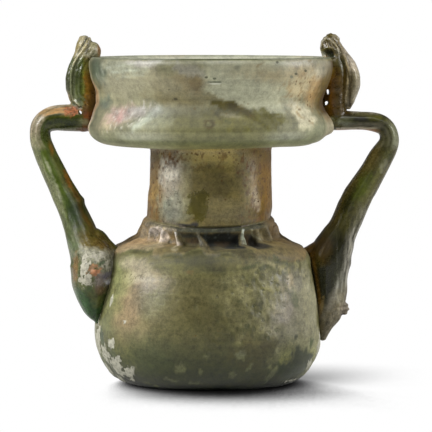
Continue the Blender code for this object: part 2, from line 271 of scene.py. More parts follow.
def relax(rows, mask, rounds):
    """Rounds off the corners of a line where its mask allows."""
    rows = rows.copy()
    for _ in range(rounds):
        mid = 0.5 * (rows[:-2] + rows[2:])
        rows[1:-1] += 0.5 * mask[1:-1, None] * (mid - rows[1:-1])
    return rows


def resample(rows, key, count, density):
    """count rows along a line; density says how much closer they lie, by place."""
    step = np.hypot(*(np.diff(rows[:, key], axis=0).T))
    mid = 0.5 * (rows[:-1] + rows[1:])
    s = np.concatenate([[0.0], np.cumsum(step * density(mid))])
    want = np.linspace(0, s[-1], count)
    return np.stack([np.interp(want, s, rows[:, k]) for k in range(rows.shape[1])], 1)


def even(rows, key, pitch):
    step = np.hypot(*(np.diff(rows[:, key], axis=0).T))
    s = np.concatenate([[0.0], np.cumsum(step)])
    want = np.linspace(0, s[-1], int(s[-1] / pitch) + 1)
    return np.stack([np.interp(want, s, rows[:, k]) for k in range(rows.shape[1])], 1)


def outer_rows():
    rows = even(outer_lines(), [2, 3], 0.12)
    rows[:, :4] = relax(rows[:, :4], rows[:, 4], 70)

    def density(m):
        z = m[:, 3]
        near = np.exp(-(((z - 42.5) / 4.2) ** 4))
        seam = np.exp(-(((z - SEAM_Z) / 0.7) ** 2))
        lip = sstep(RIM_Z - 2.2, RIM_Z - 1.0, z)
        foot = 1 - sstep(0.5, 3.0, z)
        return 1.0 + 1.5 * near + 1.8 * seam + 0.8 * lip + 0.5 * foot

    return resample(rows[:, :4], [2, 3], OUTER_ROWS, density)


def axis_x(z):
    lean = AXIS_SHIFT * smooth((z - AXIS_LOW_Z) / (AXIS_HIGH_Z - AXIS_LOW_Z))
    return lean + FOOT_SHIFT * (1 - smooth(z / BELLY_Z))


def tilt(z, bearing):
    near = smooth((z - SKIRT_Z) / 3.0) * (1 - smooth((z - SEAM_Z - 1.0) / 7.0))
    return -COLLAR_TILT * near * np.cos(np.radians(bearing))


def turn(b):
    """Difference of bearings, -180 to 180."""
    return (b + 180.0) % 360.0 - 180.0


def all_tucks():
    out = list(FRONT_TUCKS)
    first, last = -57.0, 42.0
    span = 360.0 - (last - first)
    n = round(span / TUCK_PITCH)
    for k in range(1, n):
        b = last + span * k / n + TUCK_BEAT * math.sin(2.3 * k) * math.sin(math.pi * k / n)
        lean = 5.0 * math.sin(1.7 * k + 0.6)
        strength = 0.8 + 0.2 * math.sin(3.1 * k)
        out.append((b - lean * 0.4, b + lean * 0.6, strength, 3.0 + 0.6 * math.sin(k), 6.0 + 1.6 * math.cos(2.0 * k)))
    return out


def tuck_weight(b, z):
    """1 on the crest of a pinched tuck, 0 in the hollows between."""
    down = np.clip((ROLL_Z + 2.0 - z) / (ROLL_Z + 2.0 - SKIRT_Z + 0.9), 0.0, 1.0)
    out = np.zeros(np.broadcast(b, z).shape)
    for top, foot, strength, wide_top, wide_foot in all_tucks():
        centre = top + (foot - top) * down
        wide = wide_top + (wide_foot - wide_top) * down ** 1.3
        d = np.abs(turn(b - centre)) / (wide * 1.25)
        out = np.maximum(out, strength * (1 - sstep(0.0, 1.0, d)) ** 0.8)
    return out


# ------------------------------------------------------------------ vessel mesh
def grid_normals(P):
    du = np.roll(P, -1, 1) - np.roll(P, 1, 1)
    dv = np.empty_like(P)
    dv[1:-1] = P[2:] - P[:-2]
    dv[0] = P[1] - P[0]
    dv[-1] = P[-1] - P[-2]
    n = np.cross(du, dv)
    return n / np.maximum(np.linalg.norm(n, axis=-1, keepdims=True), 1e-9)


def skirt_edge(b):
    """Height of the lower edge of the collar's skirt at a bearing: scalloped, lower under each tuck."""
    line = np.stack([b / 7.0, b * 0.0, b * 0.0 + 4.2], -1)
    ragged = 0.16 * value_noise(line * 3.1, 13) + 0.10 * value_noise(line * 7.7, 14)
    front = np.interp(b, [e[0] for e in SKIRT_EDGE], [e[1] for e in SKIRT_EDGE])
    tongue = tuck_weight(b, np.full_like(b, SKIRT_Z + 0.4))
    behind = 38.3 + 0.5 * value_noise(line, 12) - 1.1 * tongue
    return lerp(front, behind, sstep(68.0, 88.0, np.abs(b))) + ragged


def bearings():
    """The bearings of the grid's columns, closer together across the front."""
    fine = np.linspace(-180.0, 180.0, 3601)
    pace = 1.0 + 1.1 * (1 - sstep(84.0, 112.0, np.abs(fine)))
    run = np.concatenate([[0.0], np.cumsum(0.5 * (pace[1:] + pace[:-1]))])
    return np.interp(run[-1] * np.arange(SEGMENTS) / SEGMENTS, run, fine)


def vessel_grid():
    rows = outer_rows()
    b = bearings()
    B = np.broadcast_to(b, (len(rows), SEGMENTS))
    mid_z = 0.5 * (rows[:, 1] + rows[:, 3])[:, None] + 0 * B
    w = tuck_weight(B, mid_z)
    r = rows[:, 2:3] + (rows[:, 0:1] - rows[:, 2:3]) * w
    z = rows[:, 3:4] + (rows[:, 1:2] - rows[:, 3:4]) * w
    z = z + tilt(z, B)
    a = np.radians(B) - math.pi / 2
    lean = COLLAR_SHIFT * sstep(40.0, 43.0, z) * (1 - sstep(46.5, 49.5, z))
    P = np.stack([axis_x(z) - lean + r * np.cos(a), r * np.sin(a), z], -1)
    return P, B, r, w


def vessel_relief(P, B, r, w, skin):
    """How far each point of the outside stands off the plain form, in mm."""
    z = P[..., 2]
    calm = sstep(0.0, 3.0, z) * (1 - 0.75 * sstep(86.0, 90.5, z))
    collar = np.exp(-(((z - 43.0) / 5.5) ** 4))
    d = 0.22 * fbm(P, 26.0, 2, 3) * calm * (1 - 0.6 * collar)
    d += 0.05 * fbm(P, 7.0, 3, 5) * calm
    rings = np.stack([P[..., 0] / 45.0, P[..., 1] / 45.0, z / 1.5], -1)
    d += 0.035 * value_noise(rings, 9) * sstep(47.0, 49.0, z) * (1 - sstep(88.0, 90.5, z))
    rings = np.stack([P[..., 0] / 60.0, P[..., 1] / 60.0, z / 4.2], -1)
    d += 0.06 * value_noise(rings, 11) * sstep(68.0, 71.0, z) * (1 - sstep(87.0, 90.0, z))
    # the skirt of the collar stands a little proud of the shoulder
    edge = skirt_edge(B)
    step = sstep(-0.28, 0.28, z - edge) * (1 - sstep(40.0, 42.0, z))
    d += 0.26 * step * sstep(33.0, 35.0, z)
    d -= 0.12 * np.exp(-(((z - edge + 0.45) / 0.4) ** 2)) * sstep(33.0, 35.0, z)
    # the left of the collar is fuller, the right of the shoulder slimmer
    flank = sstep(50.0, 78.0, -B) * (1 - sstep(105.0, 130.0, -B))
    d += 0.30 * flank * np.exp(-(((z - 41.4) / 1.8) ** 4))
    flank = sstep(58.0, 80.0, B) * (1 - sstep(105.0, 130.0, B))
    d += flank * (0.75 * np.exp(-(((z - 43.0) / 1.7) ** 4)) - 0.15 * np.exp(-(((z - 39.0) / 1.3) ** 2)))
    d += flank * (0.55 * np.exp(-(((z - 10.8) / 3.4) ** 2)) - 1.1 * np.exp(-(((z - 68.4) / 1.6) ** 2)))
    # the cup's waist is shallower on the left, where the neck stands a little out too
    flank = sstep(50.0, 72.0, -B) * (1 - sstep(108.0, 130.0, -B))
    d += flank * (1.1 * np.exp(-(((z - 78.3) / 3.1) ** 4)) + 0.4 * np.exp(-(((z - 51.2) / 3.4) ** 4)))
    # the deepest hollows of the collar run down behind the skirt's lip
    floor = np.exp(-(((z - 40.2) / 1.1) ** 2)) * (1 - sstep(0.15, 0.5, w))
    trough = sstep(-5.0, -1.0, B) * (1 - sstep(26.0, 29.0, B)) + sstep(31.5, 33.0, B) * (1 - sstep(43.0, 47.0, B))
    trough += 0.45 * sstep(-23.0, -19.0, B) * (1 - sstep(-10.0, -7.0, B))
    d -= 0.95 * floor * trough
    # dull knocks and the bitten, pitted patch on the right shoulder
    d += -0.14 * skin["pitted"] * sstep(0.25, 0.75, fbm(P, 1.9, 2, 31) * 0.5 + 0.5)
    d += -0.10 * skin["pitted"] * (1 - sstep(0.18, 0.5, np.abs(fbm(P, 2.6, 2, 33))))
    # flaking crust
    flake = sstep(0.42, 0.58, skin["crust"] + 0.22 * fbm(P, 1.6, 3, 41))
    d += 0.11 * flake * sstep(0.3, 1.2, z)
    # the crease where the neck rises out of the roll
    zt = z - tilt(z, B)
    seam = np.exp(-(((zt - SEAM_Z - 0.05) / 0.24) ** 2))
    deep = 0.22 + 0.5 * sstep(-34.0, -20.0, B) * (1 - sstep(31.0, 40.0, B))
    d -= deep * seam
    lipline = np.exp(-(((zt - SEAM_Z + 0.5) / 0.3) ** 2))
    d += 0.12 * lipline * sstep(-55.0, -45.0, B) * (1 - sstep(34.0, 44.0, B))
    return d


def arc(b, b0, r):
    return np.radians(turn(b - b0)) * r


def blob(s, b0, z0, a, c, rot=0.0, soft=0.3, rag=0.45, grain=None, seed=0):
    """A ragged oval on the wall: half sizes a and c in mm at bearing b0, height z0."""
    u = arc(s["b"], b0, s["r"])
    v = s["z"] - z0
    k = math.radians(rot)
    p = (u * math.cos(k) + v * math.sin(k)) / a
    q = (-u * math.sin(k) + v * math.cos(k)) / c
    d = np.sqrt(p * p + q * q)
    if rag:
        near = d < 2.6
        n = np.zeros_like(d)
        pts = s["p"][near]
        n[near] = fbm(pts, grain or max(0.8, 0.6 * min(a, c)), 4, 200 + seed + int(b0 * 7 + z0 * 13) % 997)
        d = d + rag * n
    return 1 - sstep(1 - soft, 1 + soft, d)


def stroke(s, pts, half, soft=0.5):
    """A painted line on the wall through (bearing, height) points, half mm to each side."""
    lo, hi = min(p[1] for p in pts) - 2.0, max(p[1] for p in pts) + 2.0
    first, last = min(p[0] for p in pts) - 8.0, max(p[0] for p in pts) + 8.0
    out = np.zeros(s["b"].shape)
    near = (s["z"] > lo) & (s["z"] < hi) & (s["b"] > first) & (s["b"] < last)
    mid = 0.5 * (first + last)
    r = s["r"][near]
    u, v = np.radians(s["b"][near] - mid) * r, s["z"][near]
    d = np.full(len(r), 1e9)
    for (b0, z0), (b1, z1) in zip(pts, pts[1:]):
        u0, u1 = np.radians(b0 - mid) * r, np.radians(b1 - mid) * r
        du, dv = u1 - u0, z1 - z0
        t = np.clip(((u - u0) * du + (v - z0) * dv) / (du * du + dv * dv), 0, 1)
        d = np.minimum(d, np.hypot(u - u0 - t * du, v - z0 - t * dv))
    wave = 0.25 * half * fbm(s["p"][near], 1.2, 2, 171)
    out[near] = 1 - sstep(half * (1 - soft), half * (1 + soft), d + wave)
    return out


def paint(s, mask, tone=None, **others):
    if tone is not None:
        s["tone"] += (np.array(tone) - s["tone"]) * mask[..., None]
    for name, value in others.items():
        s[name] += (value - s[name]) * mask


def new_skin(p, b, z, r):
    n = p.shape[:-1]
    return {
        "p": p, "b": b, "z": z, "r": r,
        "tone": np.zeros(n + (3,)) + 0.2,
        "rough": np.full(n, 0.42),
        "clear": np.full(n, 0.25),
        "crust": np.zeros(n),
        "soil": np.zeros(n),
        "pitted": np.zeros(n),
        "grain": np.full(n, 0.5),
    }


def vessel_skin(P, B, r, w):
    s = new_skin(P, B.copy(), P[..., 2], r)
    z, b = s["z"], s["b"]
    n_big = fbm(P, 24.0, 4, 51)
    n_mid = fbm(P, 9.0, 4, 53)
    n_small = fbm(P, 3.0, 3, 55)
    n_tiny = fbm(P, 1.5, 2, 57)

    # body: olive glass under a thin khaki film
    s["tone"] += np.array((0.100, 0.096, 0.034)) - s["tone"]
    s["rough"][:] = 0.36
    s["grain"][:] = 0.7
    paint(s, sstep(-0.1, 0.9, n_big + 0.4 * n_mid) * 0.6, (0.15, 0.138, 0.06))
    paint(s, sstep(0.0, 0.9, -n_big + 0.5 * n_mid) * 0.6, (0.062, 0.064, 0.020))
    paint(s, sstep(0.05, 0.8, n_small) * 0.30, (0.16, 0.14, 0.065))
    paint(s, sstep(0.05, 0.8, -n_small) * 0.30, (0.058, 0.062, 0.020))
    # darker towards the bottom; the near-black along the foot's edge is partly thick glass and partly painted shade
    # where the body meets the floor
    paint(s, (1 - sstep(5.0, 17.0, z + 2.5 * n_mid)) * 0.75, (0.044, 0.050, 0.016), clear=0.3)
    paint(s, (1 - sstep(1.0, 4.4, z + 0.9 * n_small)) * 0.92, (0.006, 0.011, 0.003), rough=0.45, clear=0.3)
    # the back and sides carry looser, larger patches of the same weathering
    back = sstep(75.0, 105.0, np.abs(b))
    low = 1 - sstep(36.0, 39.0, z)
    s["crust"] = np.maximum(s["crust"], back * low * sstep(0.1, 0.8, fbm(P, 15.0, 4, 61)) * 0.75 * sstep(1.0, 3.0, z))
    paint(s, back * low * sstep(0.0, 0.8, fbm(P, 18.0, 4, 63)) * 0.6, (0.22, 0.19, 0.115))
    paint(s, back * low * sstep(0.2, 0.8, fbm(P, 12.0, 4, 65)) * 0.5, (0.045, 0.06, 0.022))
    s["pitted"] = np.maximum(s["pitted"], back * low * 0.8 * sstep(0.1, 0.6, fbm(P, 16.0, 3, 67)))

    # body: front
    paint(s, blob(s, -42, 24, 13, 9, 0, 0.8, 0.3) * 0.75, (0.20, 0.175, 0.085))
    paint(s, blob(s, -43, 23.5, 5.5, 8, 8, 0.8, 0.4) * 0.6, (0.29, 0.195, 0.135))
    paint(s, blob(s, -47, 18.0, 4.0, 4, 0, 0.8, 0.4) * 0.4, (0.24, 0.175, 0.105))
    paint(s, blob(s, -34, 30.5, 6, 2.6, -8, 0.7, 0.4) * 0.55, (0.36, 0.26, 0.19))
    # a painted highlight high on the left of the body
    paint(s, blob(s, -44, 31.6, 6, 2.0, 0, 0.8, 0.3) * 0.6, (0.42, 0.38, 0.25), rough=0.24)
    paint(s, blob(s, -55, 29, 4, 6, 0, 0.8, 0.4) * 0.6, (0.235, 0.26, 0.115))
    paint(s, blob(s, -30, 26, 5, 5, 0, 0.8, 0.5) * 0.35, (0.13, 0.15, 0.10))
    paint(s, blob(s, -62, 20, 4, 8, 0, 0.8, 0.5) * 0.45, (0.17, 0.185, 0.10))
    paint(s, blob(s, -8, 24, 10, 9, 0, 0.9, 0.4) * 0.6, (0.108, 0.088, 0.033))
    paint(s, blob(s, 0, 14, 17, 5, 0, 0.9, 0.5) * 0.6, (0.062, 0.058, 0.022))
    paint(s, blob(s, -12, 9, 14, 4, 0, 0.8, 0.5) * 0.5, (0.050, 0.050, 0.022))
    paint(s, blob(s, 26, 12, 7, 6, 0, 0.8, 0.6) * 0.55, (0.066, 0.048, 0.016))
    paint(s, blob(s, -28, 8, 6, 4.5, 0, 0.8, 0.5) * 0.45, (0.045, 0.058, 0.025))
    paint(s, blob(s, -38, 12, 7, 4.5, 0, 0.8, 0.5) * 0.35, (0.11, 0.12, 0.06))
    paint(s, blob(s, 10, 4.2, 24, 2.0, 0, 0.8, 0.4) * 0.6, (0.028, 0.032, 0.010))
    # the mottled patch on the right shoulder runs down and to the left
    rough = np.maximum(blob(s, 32, 29, 13, 8.5, -10, 0.4, 0.5), blob(s, 26, 21, 6.5, 7.5, 25, 0.4, 0.55))
    rough = np.maximum(rough, blob(s, 46, 33, 11, 3.2, 0, 0.4, 0.5))
    speck = sstep(-0.25, 0.45, n_tiny)
    paint(s, rough * (0.30 + 0.50 * speck), (0.235, 0.212, 0.098), rough=0.55, grain=1.0)
    paint(s, rough * sstep(0.15, 0.55, fbm(P, 2.0, 3, 73)) * 0.65, (0.060, 0.062, 0.020))
    paint(s, rough * blob(s, 34, 25.5, 4.5, 6.5, -15, 0.7, 0.5) * 0.4 * speck, (0.30, 0.28, 0.14))
    s["pitted"] = np.maximum(s["pitted"], rough * 0.9)
    s["pitted"] = np.maximum(s["pitted"], 0.55 * blob(s, 14, 17, 12, 9, 0, 0.5, 0.5))
    # pale film down the right side
    film = np.maximum(blob(s, 66, 22, 9, 12, 0, 0.3, 0.5), blob(s, 54, 14.5, 10, 6.5, -15, 0.3, 0.55))
    film = np.maximum(film, blob(s, 46, 11.0, 5.5, 3.5, 35, 0.3, 0.5))
    film = np.maximum(film, blob(s, 76, 10, 5.5, 7, 0, 0.3, 0.5))
    paint(s, film * 0.8, (0.26, 0.242, 0.175), rough=0.6, clear=0.12, grain=0.9)
    paint(s, film * sstep(0.1, 0.7, n_small) * 0.45, (0.17, 0.155, 0.09))
    paint(s, film * sstep(0.2, 0.7, -n_small) * 0.4, (0.32, 0.30, 0.235))
    paint(s, blob(s, 43, 21.8, 3.4, 3.0, 0, 0.5, 0.5) * 0.7, (0.33, 0.275, 0.255))
    paint(s, blob(s, 40.5, 23.4, 1.5, 1.0, 30, 0.4, 0.5) * 0.8, (0.13, 0.13, 0.125))
    paint(s, blob(s, 49, 26.5, 3.0, 5.0, 0, 0.5, 0.5) * 0.5, (0.30, 0.25, 0.20))
    # a painted highlight high on the right of the body
    paint(s, blob(s, 51, 29.6, 1.6, 2.4, 0, 0.4, 0.5) * 0.7, (0.46, 0.38, 0.28), rough=0.3)
    paint(s, blob(s, 52, 25.4, 1.8, 3.0, 20, 0.4, 0.5) * 0.8, (0.085, 0.095, 0.045))
    paint(s, blob(s, 59, 30.0, 2.4, 3.0, 0, 0.5, 0.5) * 0.5, (0.14, 0.13, 0.12))
    paint(s, blob(s, 62, 7.4, 6.4, 3.0, -20, 0.15, 0.5) * 0.92, (0.030, 0.040, 0.012), rough=0.32, clear=0.3, grain=0.3)
    paint(s, blob(s, 50, 5.2, 6.0, 2.2, -12, 0.2, 0.5) * 0.9, (0.026, 0.036, 0.010), rough=0.32, clear=0.3, grain=0.3)
    paint(s, blob(s, 67, 12.3, 1.1, 1.4, -30, 0.15, 0.4) * 0.9, (0.05, 0.065, 0.03))
    paint(s, blob(s, 51.5, 14.7, 0.9, 0.5, 30, 0.2, 0.3) * 0.9, (0.05, 0.058, 0.025))
    # flakes and crusts
    for b0, z0, a, c, rot, k in (
        (17.1, 10.5, 1.4, 1.2, 0, 0.80), (-14.4, 7.1, 1.6, 1.1, 20, 0.66), (0.1, 10.1, 0.9, 0.4, 0, 0.62),
        (-46.2, 19.0, 0.7, 0.7, 0, 0.68), (-35.1, 22.9, 0.35, 0.4, 0, 0.66), (-59.2, 24.3, 0.8, 1.6, -20, 0.90),
        (-70.8, 14.3, 3.0, 3.4, 0, 0.88), (-66.5, 9.8, 2.6, 2.6, 0, 0.80), (-57.5, 7.0, 3.6, 1.8, 30, 0.84),
        (-50.0, 4.6, 3.0, 1.4, 25, 0.80), (-43.0, 6.5, 1.2, 0.8, 0, 0.66), (-74.0, 20.5, 2.0, 3.0, 0, 0.76),
        (-40.4, 1.9, 1.5, 0.5, 0, 0.72), (-35.0, 1.2, 0.9, 0.4, 0, 0.70), (-50.8, 2.6, 1.6, 0.6, 0, 0.78),
        (13.0, 5.2, 1.1, 0.9, 50, 0.56), (22.0, 7.0, 0.5, 1.3, -40, 0.60), (-4.0, 6.0, 0.6, 0.8, 0, 0.58),
        (72.0, 5.6, 3.4, 1.6, -30, 0.74), (80.0, 10.0, 3.0, 4.0, 0, 0.76), (60.0, 1.9, 4.0, 0.5, 0, 0.64),
        (37.0, 4.6, 1.0, 2.6, -30, 0.62), (-22.0, 3.4, 2.4, 0.5, -10, 0.56), (-8.0, 2.6, 1.6, 0.4, 0, 0.55),
        (-100, 12, 4, 7, 0, 0.8), (104, 9, 5, 6, 0, 0.75),
    ):
        s["crust"] = np.maximum(s["crust"], k * blob(s, b0, z0, a, c, rot, 0.35, 0.55, seed=7))
    # across the front the flakes are thin, and the glass shows through them
    thin = (1 - sstep(38.0, 46.0, np.abs(b))) * (1 - sstep(11.0, 14.0, z))
    paint(s, np.clip(1.3 * s["crust"] * thin, 0, 1), (0.180, 0.176, 0.112), rough=0.6)
    s["crust"] = s["crust"] * (1 - 0.55 * thin)
    for b0, z0, a, c, k in ((-58.5, 4.6, 2.2, 1.1, 0.80), (-57.0, 12.4, 1.8, 1.8, 0.74), (-62.0, 9.2, 1.2, 1.0, 0.74)):
        s["crust"] = np.maximum(s["crust"], k * blob(s, b0, z0, a, c, 0, 0.35, 0.6, seed=11))
    paint(s, blob(s, 41, 22.2, 3.2, 3.0, 0, 0.6, 0.5) * 0.5, (0.44, 0.40, 0.31))
    paint(s, blob(s, -67, 13.6, 1.1, 2.6, 15, 0.2, 0.5) * 0.9, (0.05, 0.072, 0.035), crust=0.0)
    paint(s, blob(s, -58.0, 9.4, 1.2, 1.1, 0, 0.3, 0.5) * 0.5, (0.08, 0.100, 0.05), crust=0.1)
    paint(s, blob(s, -73, 8.6, 2.0, 1.6, 0, 0.3, 0.5) * 0.6, (0.14, 0.15, 0.09))
    # dark specks
    for b0, z0, a in ((-9.6, 33.1, 1.5), (-6.4, 32.6, 0.7), (-3.0, 30.4, 0.5), (-6.0, 16.0, 0.5), (6.0, 17.4, 0.5), (-20.0, 31.5, 0.4)):
        s["soil"] = np.maximum(s["soil"], 0.62 * blob(s, b0, z0, a, a * 0.6, 0, 0.6, 0.6))

    # the light falls off down the wall and toward the right
    dim = 0.30 * blob(s, 34, 24, 15, 10, 0, 0.8, 0.2) + 0.22 * blob(s, 50, 15, 8, 7, 0, 0.8, 0.2) + 0.18 * blob(s, -38, 27, 4, 6, 0, 0.8, 0.2)
    dim = dim + 0.16 * blob(s, -4, 26, 9, 8, 0, 0.9, 0.2) + 0.34 * (1 - sstep(6.0, 19.0, z)) * (1 - sstep(60.0, 78.0, np.abs(b)))
    s["tone"] *= 1 - np.clip(dim, 0, 0.75)[..., None]
    s["tone"] *= np.array((0.98, 1.0, 0.90))
    s["tone"] *= 1 + (1 - sstep(7.0, 17.0, z))[..., None] * (1 - s["crust"][..., None]) * (np.array((0.97, 1.03, 0.72)) - 1)
    for b0, z0, a, c, f in ((-2, 35.4, 12.0, 2.4, (0.86, 0.87, 0.66)), (33, 28.0, 6.0, 5.0, (0.90, 0.90, 0.74)),
                            (48, 9.6, 5.0, 4.5, (0.78, 0.80, 0.52)), (0, 6.5, 16.0, 4.0, (0.88, 0.90, 0.66)),
                            (-47, 10.0, 4.5, 4.0, (1.30, 1.26, 1.20)), (-38.5, 31.7, 4.0, 2.4, (1.15, 1.15, 1.32))):
        s["tone"] *= 1 + (blob(s, b0, z0, a, c, 0, 0.7, 0.3) * (1 - s["crust"]))[..., None] * (np.array(f) - 1)
    for b0, z0, a, c, rot, k in ((-78.0, 11.5, 2.6, 4.0, 0, 0.85), (-74.0, 4.6, 3.2, 1.6, 30, 0.80), (-66.0, 2.2, 3.0, 1.0, 18, 0.76)):
        s["crust"] = np.maximum(s["crust"], k * blob(s, b0, z0, a, c, rot, 0.35, 0.55, seed=9))

    # shoulder above the skirt's edge: bare brown-olive glass, paler to the left
    edge = skirt_edge(b)
    wide = np.abs(b)
    zt = z - tilt(z, b)
    above = sstep(-0.10, 0.16, z - edge) * (1 - sstep(46.4, 46.9, zt))
    paint(s, above, (0.110, 0.088, 0.034), rough=0.42, clear=0.15, crust=0.0, grain=0.9)
    paint(s, above * sstep(0.0, 0.9, n_mid) * 0.4, (0.085, 0.072, 0.028))
    paint(s, above * sstep(0.0, 0.8, n_small) * 0.35, (0.155, 0.125, 0.058))
    paint(s, above * (1 - sstep(-44.0, -30.0, b)) * sstep(-110.0, -80.0, b) * 0.85, (0.265, 0.205, 0.115))
    paint(s, above * sstep(38.0, 60.0, b) * (1 - sstep(39.5, 42.0, z)) * 0.6, (0.135, 0.095, 0.034))
    paint(s, above * sstep(56.0, 66.0, b) * sstep(41.0, 43.0, z) * 0.6, (0.078, 0.053, 0.019))
    sides = sstep(58.0, 76.0, wide) * sstep(34.5, 38.0, z) * (1 - sstep(46, 47, z))
    paint(s, np.clip(sides * (0.7 + 0.3 * n_small), 0, 1), lerp(np.array((0.18, 0.115, 0.050)), np.array((0.105, 0.072, 0.026)), 0.5)[None, None, :])
    # below the skirt: soft dark olive bands, partly the glass's colour and partly painted shade under the skirt's edge,
    # greyer and paler to the left, streaked to the right
    under = np.exp(-(((z - edge + 0.45) / 0.55) ** 2)) * sstep(-60.0, -50.0, b) * (1 - 0.75 * sstep(12.0, 40.0, b))
    paint(s, np.clip(under * (0.75 + 0.35 * n_small), 0, 1) * (1 - above), (0.052, 0.050, 0.013), rough=0.5)
    paint(s, blob(s, -14, 36.9, 7.5, 2.0, -4, 0.8, 0.3) * 0.75 * (1 - above), (0.050, 0.048, 0.014), rough=0.5)
    paint(s, blob(s, 0, 35.6, 5.5, 1.7, -16, 0.8, 0.3) * 0.8 * (1 - above), (0.038, 0.036, 0.009), rough=0.5)
    paint(s, blob(s, -34, 36.6, 4.5, 1.3, -4, 0.8, 0.3) * 0.55 * (1 - above), (0.125, 0.110, 0.045))
    paint(s, blob(s, 15, 36.0, 5.0, 1.6, 0, 0.8, 0.4) * 0.5 * (1 - above), (0.105, 0.090, 0.035))
    for b0, z0, a, c, rot in ((42.0, 36.0, 1.5, 0.7, -28), (24.0, 34.6, 2.6, 0.5, 18), (50.0, 34.6, 1.6, 0.5, -25),
                              (47.0, 32.6, 1.4, 0.5, -30), (30.5, 33.9, 1.2, 0.45, 20), (36.0, 34.2, 1.8, 0.5, -16)):
        paint(s, blob(s, b0, z0, a, c, rot, 0.35, 0.5) * 0.85, (0.045, 0.052, 0.014))
    for b0, z0, a, c, rot in ((33.0, 35.9, 2.4, 0.45, -22), (38.0, 34.9, 2.6, 0.40, -24), (44.0, 33.8, 2.4, 0.4, -28)):
        paint(s, blob(s, b0, z0, a, c, rot, 0.35, 0.5) * 0.7, (0.24, 0.215, 0.105))

    # painted shade under the skirt's edge, across the front and to the right
    paint(s, blob(s, -2, 36.6, 7.0, 1.4, -6, 0.9, 0.3) * 0.55 * (1 - above), (0.034, 0.033, 0.008), rough=0.6)
    paint(s, blob(s, 30, 36.4, 5.0, 1.0, 0, 0.6, 0.4) * 0.5, (0.058, 0.048, 0.014), rough=0.6)
    paint(s, blob(s, -45, 34.6, 5.5, 1.6, -4, 0.7, 0.4) * 0.7, (0.36, 0.315, 0.215))
    s["rough"] = lerp(s["rough"], np.maximum(s["rough"], 0.64), sstep(32.0, 34.5, z) * (1 - sstep(46.0, 47.0, z)))

    # collar: the roll under the neck, pale on the left, grey-green across the front, brown on the right
    roll = sstep(45.2, 45.6, zt + 0.2 * n_small) * (1 - sstep(46.4, 46.7, zt))
    paint(s, roll * 0.9 * sstep(-72.0, -62.0, b) * (1 - sstep(52.0, 62.0, b)), (0.030, 0.031, 0.012), rough=0.8, grain=1.6)
    paint(s, roll * sstep(-22.0, -8.0, b) * (1 - sstep(27.0, 34.0, b)) * 0.8, (0.013, 0.016, 0.006))
    paint(s, roll * (1 - sstep(-44.0, -24.0, b)) * sstep(-75.0, -66.0, b) * 0.8, (0.125, 0.110, 0.068))
    paint(s, roll * sstep(0.15, 0.7, n_tiny) * 0.30, (0.120, 0.116, 0.085))
    # the pale, mottled left shoulder of the collar
    side = above * sstep(-78.0, -70.0, b) * (1 - sstep(-33.0, -25.0, b)) * sstep(40.2, 41.2, z) * (1 - sstep(45.6, 46.2, zt))
    paint(s, side * 0.85, (0.195, 0.150, 0.084), rough=0.6, grain=1.2)
    paint(s, side * sstep(-62.0, -56.0, b) * (1 - sstep(40.8, 42.2, z + 0.4 * n_small)) * 0.7, (0.245, 0.180, 0.092))
    paint(s, side * sstep(0.05, 0.65, fbm(P, 1.6, 3, 87)) * 0.55, (0.240, 0.215, 0.175))
    paint(s, side * sstep(0.15, 0.6, fbm(P, 1.0, 2, 89)) * 0.60, (0.070, 0.052, 0.024))
    paint(s, side * sstep(-66.0, -72.0, b) * (1 - sstep(41.6, 42.6, z)) * 0.5, (0.120, 0.085, 0.036))
    for b0, z0, a, c, rot, tone, k in (
        (-56.0, 43.4, 2.0, 1.0, -20, (0.31, 0.275, 0.245), 0.80), (-45.0, 43.4, 1.9, 0.9, -20, (0.33, 0.29, 0.26), 0.80),
        # the second oval below, at bearing -40.5, is a painted highlight
        (-37.0, 42.7, 1.7, 0.6, -24, (0.25, 0.225, 0.190), 0.60), (-40.5, 41.4, 1.1, 1.0, 20, (0.52, 0.43, 0.35), 0.85),
        (-62.0, 40.6, 3.2, 0.5, 4, (0.40, 0.29, 0.18), 0.70), (-66.0, 39.8, 3.6, 1.0, 0, (0.33, 0.22, 0.115), 0.60),
        (-42.0, 39.6, 2.2, 0.9, -10, (0.32, 0.26, 0.17), 0.65),
    ):
        paint(s, blob(s, b0, z0, a, c, rot, 0.5, 0.6, grain=1.0) * k * above, tone, rough=0.42)
    # hollows: orange-brown on the left, then near-black with an ochre foot; the near-black is partly dark clean glass
    # and partly painted shade, flecked with painted glints
    open_to = 1 - sstep(0.30, 0.75, w + 0.10 * n_tiny)
    deep = above * (1 - sstep(44.2, 45.8, zt + 0.7 * n_small))
    blue = (0.022, 0.026, 0.024)
    first = deep * sstep(39.2, 40.2, z) * sstep(-39.5, -36.5, b) * (1 - sstep(-31.0, -28.5, b))
    paint(s, first * (1 - sstep(43.2, 44.2, z)) * 0.9, (0.140, 0.098, 0.036), rough=0.6)
    paint(s, blob(s, -32.6, 41.0, 0.8, 1.6, 8, 0.3, 0.35) * above * 0.85, (0.125, 0.080, 0.028), rough=0.6)
    paint(s, blob(s, -36.4, 40.4, 0.7, 0.9, 0, 0.3, 0.3) * above * 0.85, (0.060, 0.046, 0.016), rough=0.6)
    band_on = deep * sstep(42.4, 43.2, z + 0.3 * n_small) * sstep(-33.0, -29.0, b) * (1 - sstep(-9.0, -5.0, b))
    paint(s, band_on * 0.92, blue, rough=0.6, clear=0.1)
    paint(s, band_on * sstep(0.1, 0.5, n_tiny) * 0.5, (0.075, 0.080, 0.085))
    second = deep * open_to * sstep(-26.0, -22.0, b) * (1 - sstep(-8.0, -6.0, b))
    paint(s, second * sstep(38.0, 38.6, z) * 0.95, (0.046, 0.037, 0.008), rough=0.8, clear=0.1)
    paint(s, second * blob(s, -13.5, 41.0, 2.2, 0.9, 0, 0.4, 0.4) * 0.8, (0.045, 0.026, 0.007))
